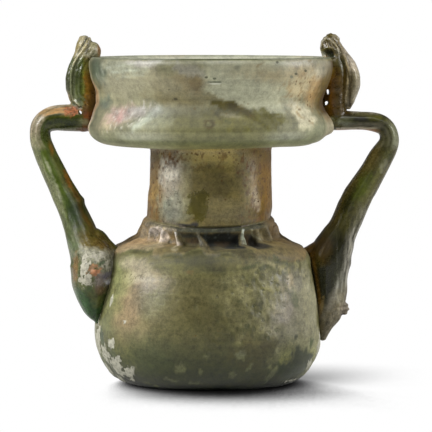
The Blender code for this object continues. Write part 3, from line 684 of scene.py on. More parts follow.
    paint(s, second * sstep(41.6, 42.5, z + 0.3 * n_small) * 0.97, (0.012, 0.014, 0.012), rough=0.6, clear=0.1)
    third = deep * sstep(-6.5, -3.5, b - 2.2 * (42.0 - z)) * (1 - sstep(27.6, 28.6, b))
    paint(s, third * (1 - sstep(38.6, 39.4, z)), (0.055, 0.048, 0.016), rough=0.8)
    paint(s, third * sstep(38.7, 39.5, z + 0.35 * n_small), (0.006, 0.007, 0.003), rough=0.85, clear=0.1)
    fourth = deep * sstep(31.6, 32.4, b) * (1 - sstep(42.0, 46.0, b - 0.8 * (42.0 - z)))
    paint(s, fourth * sstep(38.3, 39.2, z) * 0.97, (0.010, 0.008, 0.002), rough=0.8, clear=0.1)
    paint(s, fourth * blob(s, 33.0, 41.2, 1.6, 1.3, 0, 0.4, 0.4) * 0.7, (0.050, 0.027, 0.006))
    paint(s, blob(s, 13.0, 40.3, 2.0, 0.7, 0, 0.4, 0.4) * above * 0.7, (0.030, 0.017, 0.004))
    glint = sstep(0.30, 0.70, fbm(P, 0.9, 2, 83)) * blob(s, 8, 42.4, 9.5, 1.6, 0, 0.3, 0.2) * third
    paint(s, glint * 0.6, (0.050, 0.060, 0.052))
    flank = above * sstep(0.2, 0.5, w) * (1 - sstep(43.4, 44.4, z)) * sstep(38.6, 39.4, z)
    paint(s, flank * sstep(-14.0, -11.0, b) * (1 - sstep(36.0, 38.0, b)) * 0.8, (0.034, 0.030, 0.014), rough=0.75)
    # ridges: pale lines along the crests, partly pale film and partly painted highlight (brightest on the ridge near
    # bearing -40); some crests painted darker
    for pts, half, tone, k in (
        (((-63.5, 42.0), (-62.5, 43.0), (-60.5, 43.2), (-59.0, 42.2), (-59.2, 41.0)), 0.22, (0.30, 0.24, 0.17), 0.55),
        (((-42.0, 41.4), (-38.5, 41.9)), 0.30, (0.52, 0.44, 0.35), 0.80),
        (((-44.5, 40.5), (-40.5, 41.0)), 0.26, (0.52, 0.44, 0.36), 0.80),
        (((-29.0, 42.9), (-28.6, 42.6)), 0.40, (0.31, 0.33, 0.34), 0.80),
        (((-29.0, 42.3), (-27.2, 41.0), (-25.0, 39.7)), 0.55, (0.34, 0.285, 0.235), 0.95),
        (((-29.6, 41.6), (-27.8, 40.4)), 0.24, (0.46, 0.385, 0.32), 0.80),
        (((-25.5, 39.6), (-23.5, 39.0), (-20.5, 38.8)), 0.30, (0.24, 0.21, 0.13), 0.70),
        (((-9.2, 42.3), (-7.2, 41.2)), 0.34, (0.060, 0.060, 0.048), 0.75),
        (((-7.2, 41.2), (-4.6, 40.0), (-1.0, 38.9)), 0.34, (0.095, 0.082, 0.046), 0.80),
        (((-2.0, 38.7), (1.8, 38.2), (6.0, 38.0)), 0.60, (0.075, 0.068, 0.036), 0.60),
        (((31.4, 43.9), (30.6, 42.8), (30.2, 41.4)), 0.22, (0.225, 0.250, 0.180), 0.95),
        (((30.2, 41.4), (30.2, 40.2), (30.8, 39.4)), 0.18, (0.170, 0.180, 0.115), 0.85),
        (((31.5, 43.8), (31.2, 43.3)), 0.36, (0.28, 0.31, 0.25), 0.90),
        (((40.5, 43.9), (44.0, 42.2), (48.0, 40.6), (52.0, 39.7)), 0.26, (0.175, 0.165, 0.095), 0.85),
    ):
        paint(s, stroke(s, pts, half) * k, tone, rough=0.42)
    tips = sstep(0.3, 0.7, w) * sstep(-0.05, 0.15, z - edge) * (1 - sstep(39.2, 40.2, z)) * (1 - sstep(-28.0, -22.0, b)) * sstep(-56.0, -48.0, b)
    paint(s, tips * 0.6, (0.17, 0.15, 0.075))
    # neck
    neck = sstep(46.7, 47.2, zt) * (1 - sstep(66.2, 66.9, z))
    paint(s, neck, (0.205, 0.165, 0.066), rough=0.34, clear=0.34, crust=0.0, pitted=0.0, grain=0.8)
    paint(s, neck * sstep(-0.1, 0.8, n_mid) * 0.4, (0.155, 0.125, 0.042))
    paint(s, neck * sstep(36.0, 66.0, wide) * (1 - sstep(120, 150, wide)) * 0.75, (0.265, 0.155, 0.048))
    paint(s, neck * blob(s, 10, 59, 9, 7, 0, 0.8, 0.4) * 0.75, (0.100, 0.080, 0.022))
    paint(s, neck * blob(s, -8, 62, 5, 4, 0, 0.8, 0.4) * 0.55, (0.12, 0.098, 0.034))
    paint(s, neck * blob(s, 14, 49.3, 7.5, 3.2, 0, 0.35, 0.3) * 0.8, (0.22, 0.185, 0.105))
    # a painted highlight runs down the left of the neck: pinkish above, bluish-grey below, brightest near the top
    paint(s, neck * blob(s, -40, 57, 4.0, 9.5, 4, 0.8, 0.3) * 0.85, (0.36, 0.315, 0.255), rough=0.27)
    paint(s, neck * blob(s, -37, 50, 6.0, 3.4, 0, 0.6, 0.5) * 0.75, (0.26, 0.27, 0.205))
    paint(s, neck * blob(s, -25, 51, 3.4, 3.6, 0, 0.6, 0.4) * 0.6, (0.25, 0.23, 0.17))
    paint(s, neck * blob(s, -24, 60, 2.0, 6.0, 0, 0.6, 0.5) * 0.4, (0.25, 0.23, 0.18))
    # painted light: the top of the neck under the cup made lighter; the line after it is the brightest spot of the
    # painted highlight on the left
    paint(s, neck * sstep(61.5, 64.5, z) * (1 - sstep(80.0, 100.0, wide)) * 0.75, (0.300, 0.245, 0.115))
    paint(s, neck * blob(s, -44, 60.2, 3.4, 3.6, 4, 0.6, 0.4) * 0.9, (0.66, 0.60, 0.51))
    s["tone"] *= 1 + neck[..., None] * (np.array((1.08, 1.07, 0.78)) - 1) * (sstep(-34.0, -18.0, b))[..., None]
    s["tone"] *= 1 + 0.23 * (neck * sstep(-22.0, -8.0, b) * (1 - sstep(20.0, 32.0, b)))[..., None]
    s["tone"] *= 1 + (neck * sstep(30.0, 50.0, b) * (1 - sstep(95.0, 120.0, b)))[..., None] * (np.array((0.83, 0.71, 0.20)) - 1)
    foot = neck * (1 - sstep(47.8, 52.6, z)) * (1 - sstep(90.0, 110.0, wide))
    s["tone"] *= 1 - 0.42 * foot[..., None]
    # the front darkens down from the cup to its middle, then pales again towards the seam; the lift just under the cup
    # is painted light
    middle = neck * sstep(-25.0, -15.0, b) * (1 - sstep(14.0, 32.0, b))
    fall = np.interp(z + 0.5 * n_small, (48.5, 51.5, 54.0, 57.0, 59.2, 61.5, 65.0), (1.0, 0.72, 0.66, 0.68, 0.95, 1.55, 1.60))
    s["tone"] *= 1 + (middle * (fall - 1))[..., None]
    window = np.maximum(blob(s, -9.5, 53.0, 2.7, 1.8, 0, 0.3, 0.4), blob(s, -10.5, 49.8, 2.9, 2.0, 0, 0.3, 0.4))
    window = np.maximum(window, blob(s, -8.5, 47.9, 1.7, 1.8, -35, 0.3, 0.4))
    paint(s, neck * window, (0.098, 0.084, 0.016), rough=0.2, clear=0.45, grain=0.3)
    # a painted highlight on the right of the neck
    paint(s, neck * blob(s, 47, 52.5, 1.5, 3.2, 10, 0.5, 0.6) * 0.75, (0.46, 0.38, 0.26), rough=0.25)
    paint(s, neck * blob(s, 44, 58, 1.2, 4.5, 0, 0.6, 0.6) * 0.45, (0.36, 0.25, 0.12))
    paint(s, neck * blob(s, 33, 57, 0.7, 3.5, 5, 0.5, 0.6) * 0.35, (0.07, 0.045, 0.012))
    back_neck = neck * sstep(80.0, 120.0, wide)
    paint(s, back_neck * sstep(0.0, 0.7, fbm(P, 8.0, 4, 91)) * 0.6, (0.28, 0.25, 0.17))
    soil = neck * (0.30 + 0.32 * sstep(60.0, 65.5, z) + 0.28 * sstep(28.0, 55.0, b) + 0.18 * sstep(48.0, 60.0, -b))
    soil = soil * (1 - 0.92 * blob(s, -38, 56, 5.6, 8.0, 0, 0.4, 0.3))
    soil = soil * (1 - 0.9 * window) * (1 - 0.6 * (1 - sstep(47.0, 54.0, z)))
    s["soil"] = np.maximum(s["soil"] * (1 - neck), soil)
    s["soil"] = np.maximum(s["soil"], neck * 0.85 * blob(s, -43, 64.6, 3.4, 1.2, -6, 0.5, 0.6))
    # rust-brown freckles, thickest under the cup and down both edges
    where = np.clip(0.10 + 0.75 * sstep(58.5, 64.0, z) + 0.70 * sstep(22.0, 40.0, b) + 0.60 * sstep(42.0, 54.0, -b), 0, 1)
    rust = neck * where * sstep(0.27, 0.40, fbm(P, 0.95, 2, 93)) * (1 - sstep(95.0, 115.0, wide)) * (1 - window)
    s["tone"] *= 1 + (neck * sstep(-90.0, -70.0, b) * (1 - sstep(-24.0, -14.0, b)))[..., None] * np.array((0.08, 0.12, 0.12))
    paint(s, rust * 0.85, (0.125, 0.052, 0.005), rough=0.6, soil=0.0)
    paint(s, neck * blob(s, -42.5, 63.4, 2.4, 1.7, 0, 0.5, 0.6) * sstep(-0.1, 0.25, fbm(P, 0.8, 2, 95)) * 0.8, (0.190, 0.080, 0.010), rough=0.6)

    # the seam round the foot of the neck: a black line at the front, painted shadow in its crease, with painted shade
    # just above it; a pale pinkish line to its left, and a short one on the right, is painted highlight along the edge
    front = sstep(-30.0, -16.0, b) * (1 - sstep(36.0, 42.0, b))
    seam = np.exp(-(((zt - SEAM_Z - 0.02) / 0.26) ** 2))
    paint(s, seam * (0.12 + 0.83 * front), (0.010, 0.010, 0.006), clear=0.1, rough=0.7, soil=0.0)
    shade = np.clip(stroke(s, ((-27.0, 45.3), (-16.0, 45.35), (-10.5, 45.5)), 0.34) + blob(s, -11.5, 45.6, 0.7, 0.6, 0, 0.4, 0.3), 0, 1)
    paint(s, shade * 0.92, (0.012, 0.012, 0.014), rough=0.7, soil=0.0)
    pink = stroke(s, ((-44.0, 46.3), (-36.0, 45.8), (-26.0, 45.1), (-22.0, 44.9)), 0.17) + stroke(s, ((33.0, 44.9), (40.0, 45.1)), 0.20)
    paint(s, np.clip(pink, 0, 1) * 0.6, (0.22, 0.185, 0.14), soil=0.0)

    # cup
    cup = sstep(66.3, 66.9, z) * sstep(17.6, 18.6, r)
    paint(s, cup, (0.275, 0.268, 0.155), rough=0.42, clear=0.32, crust=0.0, pitted=0.0, soil=0.0, grain=0.5)
    s["rough"] += (0.62 - s["rough"]) * cup * (1 - sstep(79.5, 82.0, z))
    paint(s, cup * sstep(0.0, 0.8, n_big + 0.3 * n_mid) * 0.3, (0.33, 0.30, 0.175))
    paint(s, cup * sstep(0.1, 0.8, -n_big + 0.4 * n_mid) * 0.3, (0.215, 0.22, 0.12))
    lower = cup * (1 - sstep(75.0, 79.0, z + 0.7 * n_small))
    paint(s, lower * 0.8, (0.245, 0.240, 0.140))
    paint(s, lower * sstep(-34.0, -10.0, b + 4 * n_mid) * (1 - sstep(22.0, 38.0, b)) * 0.85, (0.150, 0.142, 0.046))
    paint(s, cup * np.exp(-(((z - 69.6) / 1.6) ** 2)) * sstep(20.0, 40.0, np.abs(b + 2.0)) * 0.5, (0.27, 0.275, 0.175))
    for b0, z0, a, c, rot, soft, tone, k in (
        # left: pale, streaked green above, teal by the edge, brown toward the middle
        (-41, 85.5, 12.0, 6.5, 0, 0.6, (0.395, 0.375, 0.245), 0.85),
        (-46, 88.9, 10.0, 1.9, 0, 0.6, (0.43, 0.46, 0.34), 0.75),
        (-33, 90.0, 4.6, 0.9, -4, 0.5, (0.54, 0.51, 0.45), 0.85),
        (-24.5, 90.8, 2.8, 0.5, 0, 0.5, (0.58, 0.57, 0.50), 0.80),
        (-69, 87.4, 5.4, 4.6, 0, 0.5, (0.085, 0.115, 0.070), 0.92),
        (-63, 84.2, 2.4, 2.2, 0, 0.6, (0.33, 0.34, 0.24), 0.55),
        (-66, 79.2, 3.4, 1.9, 24, 0.35, (0.155, 0.185, 0.130), 0.92),
        (-70, 82.6, 4.0, 2.2, 0, 0.6, (0.31, 0.27, 0.155), 0.50),
        (-18, 84.0, 8.5, 5.0, 0, 0.6, (0.250, 0.225, 0.130), 0.85),
        (-15, 80.6, 9.5, 1.9, -4, 0.6, (0.215, 0.190, 0.090), 0.85),
        (-20, 88.9, 2.9, 2.2, 0, 0.4, (0.210, 0.205, 0.105), 0.85),
        (-9.5, 88.4, 4.9, 1.7, -14, 0.15, (0.280, 0.270, 0.205), 0.90),
        (-13, 86.0, 4.2, 0.9, -12, 0.5, (0.200, 0.165, 0.080), 0.75),
        (-9, 84.4, 3.6, 2.2, 0, 0.5, (0.205, 0.168, 0.080), 0.80),
        (-6.8, 85.0, 1.9, 1.9, 0, 0.3, (0.165, 0.125, 0.050), 0.90),
    ):
        paint(s, cup * blob(s, b0, z0, a, c, rot, soft, 0.45) * k, tone)
    for pts, half, tone, k in (
        (((-55.0, 87.2), (-42.5, 88.1), (-31.0, 88.6)), 0.24, (0.56, 0.60, 0.47), 0.75),
        (((-58.0, 88.6), (-48.0, 89.4), (-38.0, 89.9)), 0.18, (0.52, 0.55, 0.44), 0.65),
        (((-50.0, 85.8), (-40.0, 86.7), (-33.0, 87.0)), 0.20, (0.47, 0.49, 0.37), 0.55),
        (((-62.5, 88.4), (-60.5, 87.2)), 0.35, (0.38, 0.40, 0.32), 0.75),
        (((-69.0, 87.0), (-67.5, 85.6)), 0.30, (0.36, 0.37, 0.30), 0.70),
        (((-75.0, 84.0), (-72.0, 82.0), (-70.5, 80.0)), 0.25, (0.42, 0.40, 0.28), 0.60),
        (((-27.3, 79.9), (-17.4, 80.3), (-6.4, 79.5)), 0.80, (0.175, 0.150, 0.062), 0.65),
    ):
        paint(s, cup * stroke(s, pts, half, 0.7) * k, tone)
    # the clean, grey-green field, with its crisp stepped edge on the left
    start = np.interp(z, (76.3, 78.5, 80.4, 82.9, 86.6, 88.1, 90.0), (24.4, 18.7, 5.0, -3.8, -3.6, -15.8, -16.5))
    stop = np.interp(z, (76.5, 79.2, 83.5, 88.8), (41.0, 42.5, 39.5, 39.0))
    clean = cup * sstep(-1.0, 1.0, b - start + 2.0 * n_tiny + 1.5 * n_small) * (1 - sstep(-3.0, 4.0, b - stop + 3.0 * n_tiny))
    clean = clean * sstep(75.6, 76.8, z + 0.5 * n_small) * (1 - sstep(90.4, 91.2, z))
    paint(s, clean * sstep(-6.0, 2.0, b) * 0.92, (0.405, 0.412, 0.285), clear=0.14, grain=0.38)
    paint(s, clean * blob(s, 31, 80.5, 6.0, 3.4, 0, 0.7, 0.4) * 0.7, (0.485, 0.485, 0.335))
    paint(s, clean * blob(s, 22, 88.2, 10.5, 2.7, -5, 0.6, 0.4) * 0.9, (0.305, 0.290, 0.185))
    paint(s, clean * blob(s, 31, 86.6, 6.5, 1.6, -6, 0.6, 0.5) * 0.7, (0.285, 0.240, 0.130))
    paint(s, cup * blob(s, 11.9, 89.1, 0.9, 0.8, 0, 0.8, 0.2) * 0.75, (0.13, 0.14, 0.10))
    paint(s, cup * stroke(s, ((21.5, 89.6), (24.8, 90.4)), 0.32) * 0.8, (0.185, 0.140, 0.060))
    paint(s, cup * stroke(s, ((4.0, 87.9), (9.5, 88.9)), 0.20) * 0.5, (0.26, 0.26, 0.18))
    # right: tan, freckled brown, going to orange and dark brown by the handle
    paint(s, cup * blob(s, 51, 85.4, 8.8, 5.8, 0, 0.35, 0.4) * 0.88, (0.500, 0.425, 0.255), clear=0.14)
    paint(s, cup * blob(s, 48, 90.4, 7.0, 1.0, 0, 0.6, 0.5) * 0.75, (0.52, 0.49, 0.37))
    paint(s, cup * stroke(s, ((45.0, 90.2), (49.0, 90.8), (52.0, 90.0), (55.0, 90.6)), 0.22) * 0.7, (0.64, 0.62, 0.52))
    fleck = sstep(0.12, 0.50, fbm(P, 0.85, 2, 99))
    paint(s, cup * blob(s, 50, 84.0, 8.0, 6.0, 0, 0.4, 0.4) * fleck * 0.60, (0.270, 0.170, 0.060))
    # a painted highlight on the lower bulge to the right, with a smaller one beside it
    paint(s, cup * blob(s, 51, 75.4, 4.6, 3.4, -18, 0.35, 0.5) * 0.92, (0.600, 0.560, 0.390), rough=0.6, clear=0.1)
    paint(s, cup * blob(s, 46, 79.0, 2.2, 0.9, -30, 0.5, 0.5) * 0.7, (0.56, 0.53, 0.38))
    paint(s, cup * blob(s, 50, 77.0, 2.4, 1.5, 0, 0.5, 0.5) * fleck * 0.7, (0.36, 0.24, 0.09))
    paint(s, cup * blob(s, 54.5, 74.6, 1.0, 1.6, 0, 0.5, 0.5) * sstep(0.0, 0.4, n_tiny) * 0.7, (0.33, 0.22, 0.08))
    paint(s, cup * blob(s, 62, 83.0, 3.6, 4.6, 0, 0.6, 0.5) * 0.85, (0.340, 0.215, 0.080))
    paint(s, cup * blob(s, 60, 71.4, 5.5, 1.8, 0, 0.6, 0.4) * 0.75, (0.250, 0.265, 0.160))
    # the dark brown by the handle is painted: the strap seen through the cup's edge, with painted shade
    foot = np.interp(z, (75.5, 78.6, 82.2, 86.2, 89.8), (69.0, 68.0, 69.5, 66.0, 66.5))
    shade = cup * sstep(-7.5, 4.5, b - foot + 3.0 * n_tiny) * sstep(74.5, 76.0, z) * (1 - sstep(89.8, 91.0, z)) * (1 - sstep(112.0, 125.0, b))
    paint(s, shade * 0.97, (0.135, 0.080, 0.0), rough=0.85)
    paint(s, shade * sstep(2.0, 9.0, b - foot) * 0.95, (0.085, 0.044, 0.0), rough=0.9)
    turn_in = cup * sstep(60.0, 72.0, b) * (1 - sstep(112.0, 125.0, b)) * sstep(74.5, 77.0, z)
    s["tone"] *= 1 + (turn_in * (1 - shade))[..., None] * (np.array((1.14, 1.04, 0.80)) - 1)
    # a painted highlight on the cup's upper right edge
    silver = cup * blob(s, 66.0, 88.3, 6.5, 2.4, 0, 0.6, 0.4)
    paint(s, silver * 0.8, (0.47, 0.44, 0.32))
    paint(s, cup * blob(s, 76.0, 86.0, 6.0, 3.0, 0, 0.6, 0.3) * 0.7, (0.155, 0.105, 0.020), rough=0.7)
    turnline = np.interp(z, (69.7, 73.9, 77.2), (63.9, 67.1, 71.0))
    hem = cup * sstep(1.5, 4.0, b - turnline) * (1 - sstep(74.8, 76.2, z)) * sstep(68.0, 69.0, z) * (1 - sstep(105.0, 120.0, b))
    paint(s, hem * 0.9, (0.40, 0.36, 0.235))
    paint(s, hem * sstep(-0.1, 0.5, n_mid) * 0.6, (0.52, 0.49, 0.36))
    paint(s, hem * sstep(72.5, 75.0, z) * 0.7, (0.28, 0.175, 0.060))
    paint(s, cup * stroke(s, ((71.0, 77.2), (67.1, 73.9), (64.5, 70.5)), 0.28) * 0.7, (0.115, 0.110, 0.050))
    # the pink, cream and blue-white bloom low on the left: iridescent weathering with the painted highlight on the
    # lower bulge
    paint(s, cup * blob(s, -29, 75.6, 5.0, 2.8, 0, 0.7, 0.5) * 0.75, (0.370, 0.385, 0.270))
    paint(s, cup * blob(s, -55, 74.2, 5.4, 2.2, 10, 0.6, 0.5) * 0.85, (0.560, 0.470, 0.315), rough=0.45)
    paint(s, cup * blob(s, -50, 75.9, 4.6, 2.3, 6, 0.6, 0.5) * 0.92, (0.590, 0.420, 0.360), rough=0.45)
    paint(s, cup * blob(s, -49.5, 75.4, 2.0, 1.5, 0, 0.6, 0.5) * 0.75, (0.640, 0.360, 0.330))
    paint(s, cup * blob(s, -40, 76.6, 4.4, 1.5, 14, 0.6, 0.5) * 0.85, (0.520, 0.480, 0.430), rough=0.45)
    paint(s, cup * stroke(s, ((-37.5, 72.8), (-32.0, 75.0), (-27.0, 77.6)), 1.15, 0.8) * 0.75, (0.500, 0.550, 0.450), rough=0.42)
    veins = sstep(0.35, 0.65, fbm(np.stack([P[..., 0] * 1.6, P[..., 1], P[..., 2] * 0.7], -1), 1.0, 3, 103))
    bloom_and_highlight = blob(s, -43, 75.6, 9.0, 3.2, 8, 0.4, 0.4)
    paint(s, cup * bloom_and_highlight * veins * 0.8, (0.74, 0.72, 0.64))
    veins = sstep(0.35, 0.65, fbm(np.stack([P[..., 0] * 1.6, P[..., 1], P[..., 2] * 0.7], -1), 1.0, 3, 107))
    paint(s, cup * bloom_and_highlight * veins * 0.6, (0.33, 0.29, 0.24))
    # the dark olive stain winding across the front, with a ring below it
    paint(s, cup * blob(s, 0.9, 80.6, 2.7, 1.2, -20, 0.3, 0.5) * 0.8, (0.200, 0.175, 0.078))
    mottle = 0.70 + 0.35 * sstep(-0.4, 0.4, n_tiny)
    for b0, z0, a, c, rot, tone, k in (
        (10.0, 75.0, 6.5, 2.6, -6, (0.150, 0.138, 0.030), 0.80),
        (28.0, 75.0, 5.0, 2.4, -8, (0.135, 0.125, 0.018), 0.90),
        (29.5, 76.0, 2.2, 0.8, 0, (0.095, 0.086, 0.004), 0.85),
        (17.0, 72.8, 1.8, 0.9, 20, (0.105, 0.098, 0.010), 0.80),
        (12.0, 72.4, 2.4, 0.7, 0, (0.120, 0.108, 0.035), 0.60),
    ):
        paint(s, cup * np.clip(blob(s, b0, z0, a, c, rot, 0.3, 0.65) * k * mottle, 0, 1), tone, rough=0.62)
    paint(s, cup * blob(s, 9.4, 76.1, 2.7, 0.55, -8, 0.4, 0.4) * 0.9, (0.300, 0.280, 0.155))
    for pts, half, tone, k in (
        (((1.0, 79.5), (5.4, 79.4), (11.3, 79.7)), 0.55, (0.080, 0.066, 0.0), 0.95),
        (((5.4, 78.7), (11.2, 78.3), (16.0, 77.4), (20.9, 75.7)), 1.05, (0.085, 0.070, 0.0), 0.96),
        (((8.0, 79.2), (12.5, 79.0)), 0.60, (0.060, 0.046, 0.0), 0.85),
        (((2.2, 76.9), (4.9, 74.9)), 0.36, (0.105, 0.092, 0.028), 0.90),
        (((6.7, 74.9), (8.7, 74.3)), 0.32, (0.082, 0.090, 0.030), 0.85),
        (((20.9, 75.7), (24.0, 74.2), (26.5, 72.8)), 0.50, (0.115, 0.105, 0.008), 0.80),
        (((15.5, 74.6), (18.0, 73.0), (19.5, 71.6)), 0.30, (0.115, 0.105, 0.035), 0.70),
    ):
        paint(s, cup * stroke(s, pts, half, 0.35) * k, tone, rough=0.62)
    ring = blob(s, -0.8, 73.8, 1.45, 1.25, -10, 0.2, 0.3) * (1 - blob(s, -0.8, 73.8, 0.75, 0.6, 0, 0.3, 0.2))
    paint(s, cup * ring * 0.95, (0.075, 0.055, 0.012), rough=0.62)
    s["soil"] = np.maximum(s["soil"], cup * 0.44 * blob(s, 50, 83.0, 9, 7.0, 0, 0.4, 0.5))
    s["soil"] = np.maximum(s["soil"], cup * 0.40 * blob(s, 6, 78.0, 12, 3.2, -10, 0.6, 0.5))
    # the edge to the left: a dark line, then light caught in the thickness of the glass
    verge = np.interp(z, (69.0, 72.0, 76.0, 80.0, 84.0, 88.0, 92.0), (79.0, 78.0, 75.0, 71.5, 76.0, 80.5, 82.0)) + 1.2 * n_tiny
    paint(s, cup * np.exp(-(((b + verge - 2.2) / 1.7) ** 2)) * sstep(69.0, 71.0, z) * 0.7, (0.125, 0.140, 0.085))
    rimlight = cup * sstep(0.0, 3.0, -b - verge) * (1 - sstep(100.0, 112.0, -b)) * sstep(68.5, 70.0, z)
    paint(s, rimlight * 0.9, (0.46, 0.31, 0.175))
    paint(s, rimlight * np.exp(-(((b + verge + 6.0) / 2.0) ** 2)) * (1 - sstep(82.0, 85.0, z)) * 0.6, (0.27, 0.15, 0.06))
    paint(s, rimlight * sstep(84.0, 86.5, z) * 0.85, (0.47, 0.47, 0.32))
    paint(s, rimlight * (1 - sstep(74.5, 77.0, z)) * 0.75, (0.44, 0.38, 0.29))
    belly = cup * (1 - sstep(72.6, 75.0, z)) * (1 - sstep(52.0, 68.0, np.abs(b)))
    s["tone"] *= 1 - belly[..., None] * np.array((0.13, 0.12, 0.16))
    flank = (1 - cup) * sstep(24.0, 34.0, b) * (1 - sstep(62.0, 72.0, b)) * sstep(10.0, 14.0, z) * (1 - sstep(32.0, 36.0, z))
    s["tone"] *= 1 - flank[..., None] * np.array((0.07, 0.08, 0.12))
    # the lip: a thin green line along its near edge
    green = sstep(91.05, 91.25, z) * sstep(31.0, 32.0, r)
    paint(s, cup * green * 0.85, (0.24, 0.26, 0.175), rough=0.5)
    paint(s, cup * green * sstep(-20.0, -12.0, b) * (1 - sstep(20.0, 28.0, b)) * 0.9, (0.085, 0.105, 0.030), rough=0.5)
    paint(s, cup * np.exp(-(((z - 90.3) / 0.35) ** 2)) * sstep(-62.0, -50.0, b) * (1 - sstep(60.0, 70.0, b)) * 0.35, (0.34, 0.35, 0.25))
    edge_line = cup * (1 - sstep(68.6, 70.2, z)) * sstep(67.4, 68.4, z)
    paint(s, edge_line * 0.5, (0.075, 0.09, 0.036))
    level = np.interp(z, (70.9, 74.0, 77.1, 80.2, 83.3, 86.4, 89.5, 91.5), (1.0, 0.76, 0.64, 0.84, 0.90, 0.80, 0.60, 0.60))
    waist = np.exp(-(((z - 77.2) / 1.5) ** 4)) * sstep(-50.0, -40.0, b) * (1 - sstep(14.0, 24.0, b))
    level = level * (1 - 0.26 * waist) * (1 + 0.5 * (1 - sstep(68.6, 70.0, z)))
    under = sstep(68.7, 69.5, z) * (1 - sstep(70.9, 71.9, z)) * (1 - sstep(40.0, 55.0, wide))
    s["tone"] *= 1 + (cup * under)[..., None] * (np.array((1.45, 1.47, 1.85)) - 1)
    s["tone"] *= 1 + (cup * blob(s, 0, 73.8, 18.0, 2.0, 0, 0.6, 0.3))[..., None] * (np.array((0.92, 0.92, 0.84)) - 1)
    level = level * (1 - 0.40 * blob(s, -68.5, 72.4, 4.0, 3.4, 0, 0.5, 0.3)) * (1 + 0.17 * blob(s, 61, 79.5, 3.6, 4.4, 0, 0.5, 0.3))
    level = level * (1 - 0.10 * blob(s, -50, 85.0, 8.0, 3.0, 0, 0.6, 0.3))
    near = cup * (1 - sstep(95.0, 125.0, wide))
    s["tone"] *= (1 - near + near * level)[..., None]
    back_cup = cup * sstep(80.0, 110.0, wide) * (1 - rimlight) * (1 - shade) * (1 - hem)
    paint(s, back_cup * sstep(0.0, 0.8, fbm(P, 14.0, 4, 95)) * 0.6, (0.33, 0.28, 0.17))
    s["soil"] = np.maximum(s["soil"], back_cup * 0.5 * sstep(0.0, 0.7, fbm(P, 17.0, 3, 97)))
    return s


def inner_skin(P, b, r):
    s = new_skin(P, b.copy(), P[..., 2], r)
    n = fbm(P, 12.0, 4, 121)
    s["tone"] += np.array((0.30, 0.29, 0.18)) - s["tone"]
    paint(s, sstep(0.0, 0.8, n) * 0.5, (0.36, 0.31, 0.19))
    paint(s, sstep(0.1, 0.8, -n) * 0.4, (0.20, 0.22, 0.13))
    paint(s, sstep(8.0, 2.0, s["z"]) * 0.5, (0.22, 0.19, 0.11))
    s["soil"] += 0.30 + 0.2 * n
    paint(s, sstep(87.0, 89.5, s["z"]) * 0.8, (0.50, 0.50, 0.42), soil=0.0)
    paint(s, sstep(91.0, 91.2, s["z"]) * sstep(70.0, 90.0, np.abs(b)) * 0.95, (0.075, 0.095, 0.060), soil=0.0)
    s["clear"][:] = 0.35
    s["rough"][:] = 0.5
    return s


def base_skin(P, b, r):
    s = new_skin(P, b.copy(), P[..., 2], r)
    n = fbm(P, 8.0, 4, 131)
    s["tone"] += np.array((0.10, 0.11, 0.05)) - s["tone"]
    paint(s, sstep(0.0, 0.8, n) * 0.6, (0.26, 0.25, 0.17))
    paint(s, np.exp(-(((r - 6.2) / 0.9) ** 2)) * 0.5, (0.34, 0.33, 0.27))
    s["crust"] += 0.75 * sstep(0.1, 0.7, fbm(P, 9.0, 4, 133))
    s["rough"][:] = 0.5
    return s


FIELDS = ("rough", "clear", "crust", "soil", "pitted", "grain")


def join_skins(skins):
    out = {"tone": np.concatenate([s["tone"].reshape(-1, 3) for s in skins])}
    for k in FIELDS:
        out[k] = np.concatenate([s[k].reshape(-1) for s in skins])
    return out


def wear(mesh, skin, extra=None):
    """Stores the painted fields on the mesh for its material to read."""
    n = len(mesh.vertices)

    def store(name, values):
        a = mesh.attributes.new(name, "FLOAT_VECTOR", "POINT")
        a.data.foreach_set("vector", np.ascontiguousarray(values, dtype=np.float32).ravel())

    store("tone", np.clip(skin["tone"], 0.004, 0.9))
    store("wear_a", np.stack([skin["rough"], skin["clear"], skin["crust"]], 1))
    store("wear_b", np.stack([skin["soil"], skin["pitted"], skin["grain"]], 1))
    if extra is not None:
        store("along", extra)
    assert n == len(skin["tone"])


def grid_quads(start, rows, cols):
    i = np.arange(rows - 1)[:, None] * cols + start
    j = np.arange(cols)[None, :]
    k = (j + 1) % cols
    return np.stack([i + j, i + k, i + cols + k, i + cols + j], -1).reshape(-1, 4)


def build_mesh(name, verts, quads, tris):
    mesh = bpy.data.meshes.new(name)
    faces = [tuple(q) for q in quads.tolist()] + [tuple(t) for t in tris]
    mesh.from_pydata((verts * MM).tolist(), [], faces)
    mesh.update()
    mesh.shade_smooth()
    return mesh


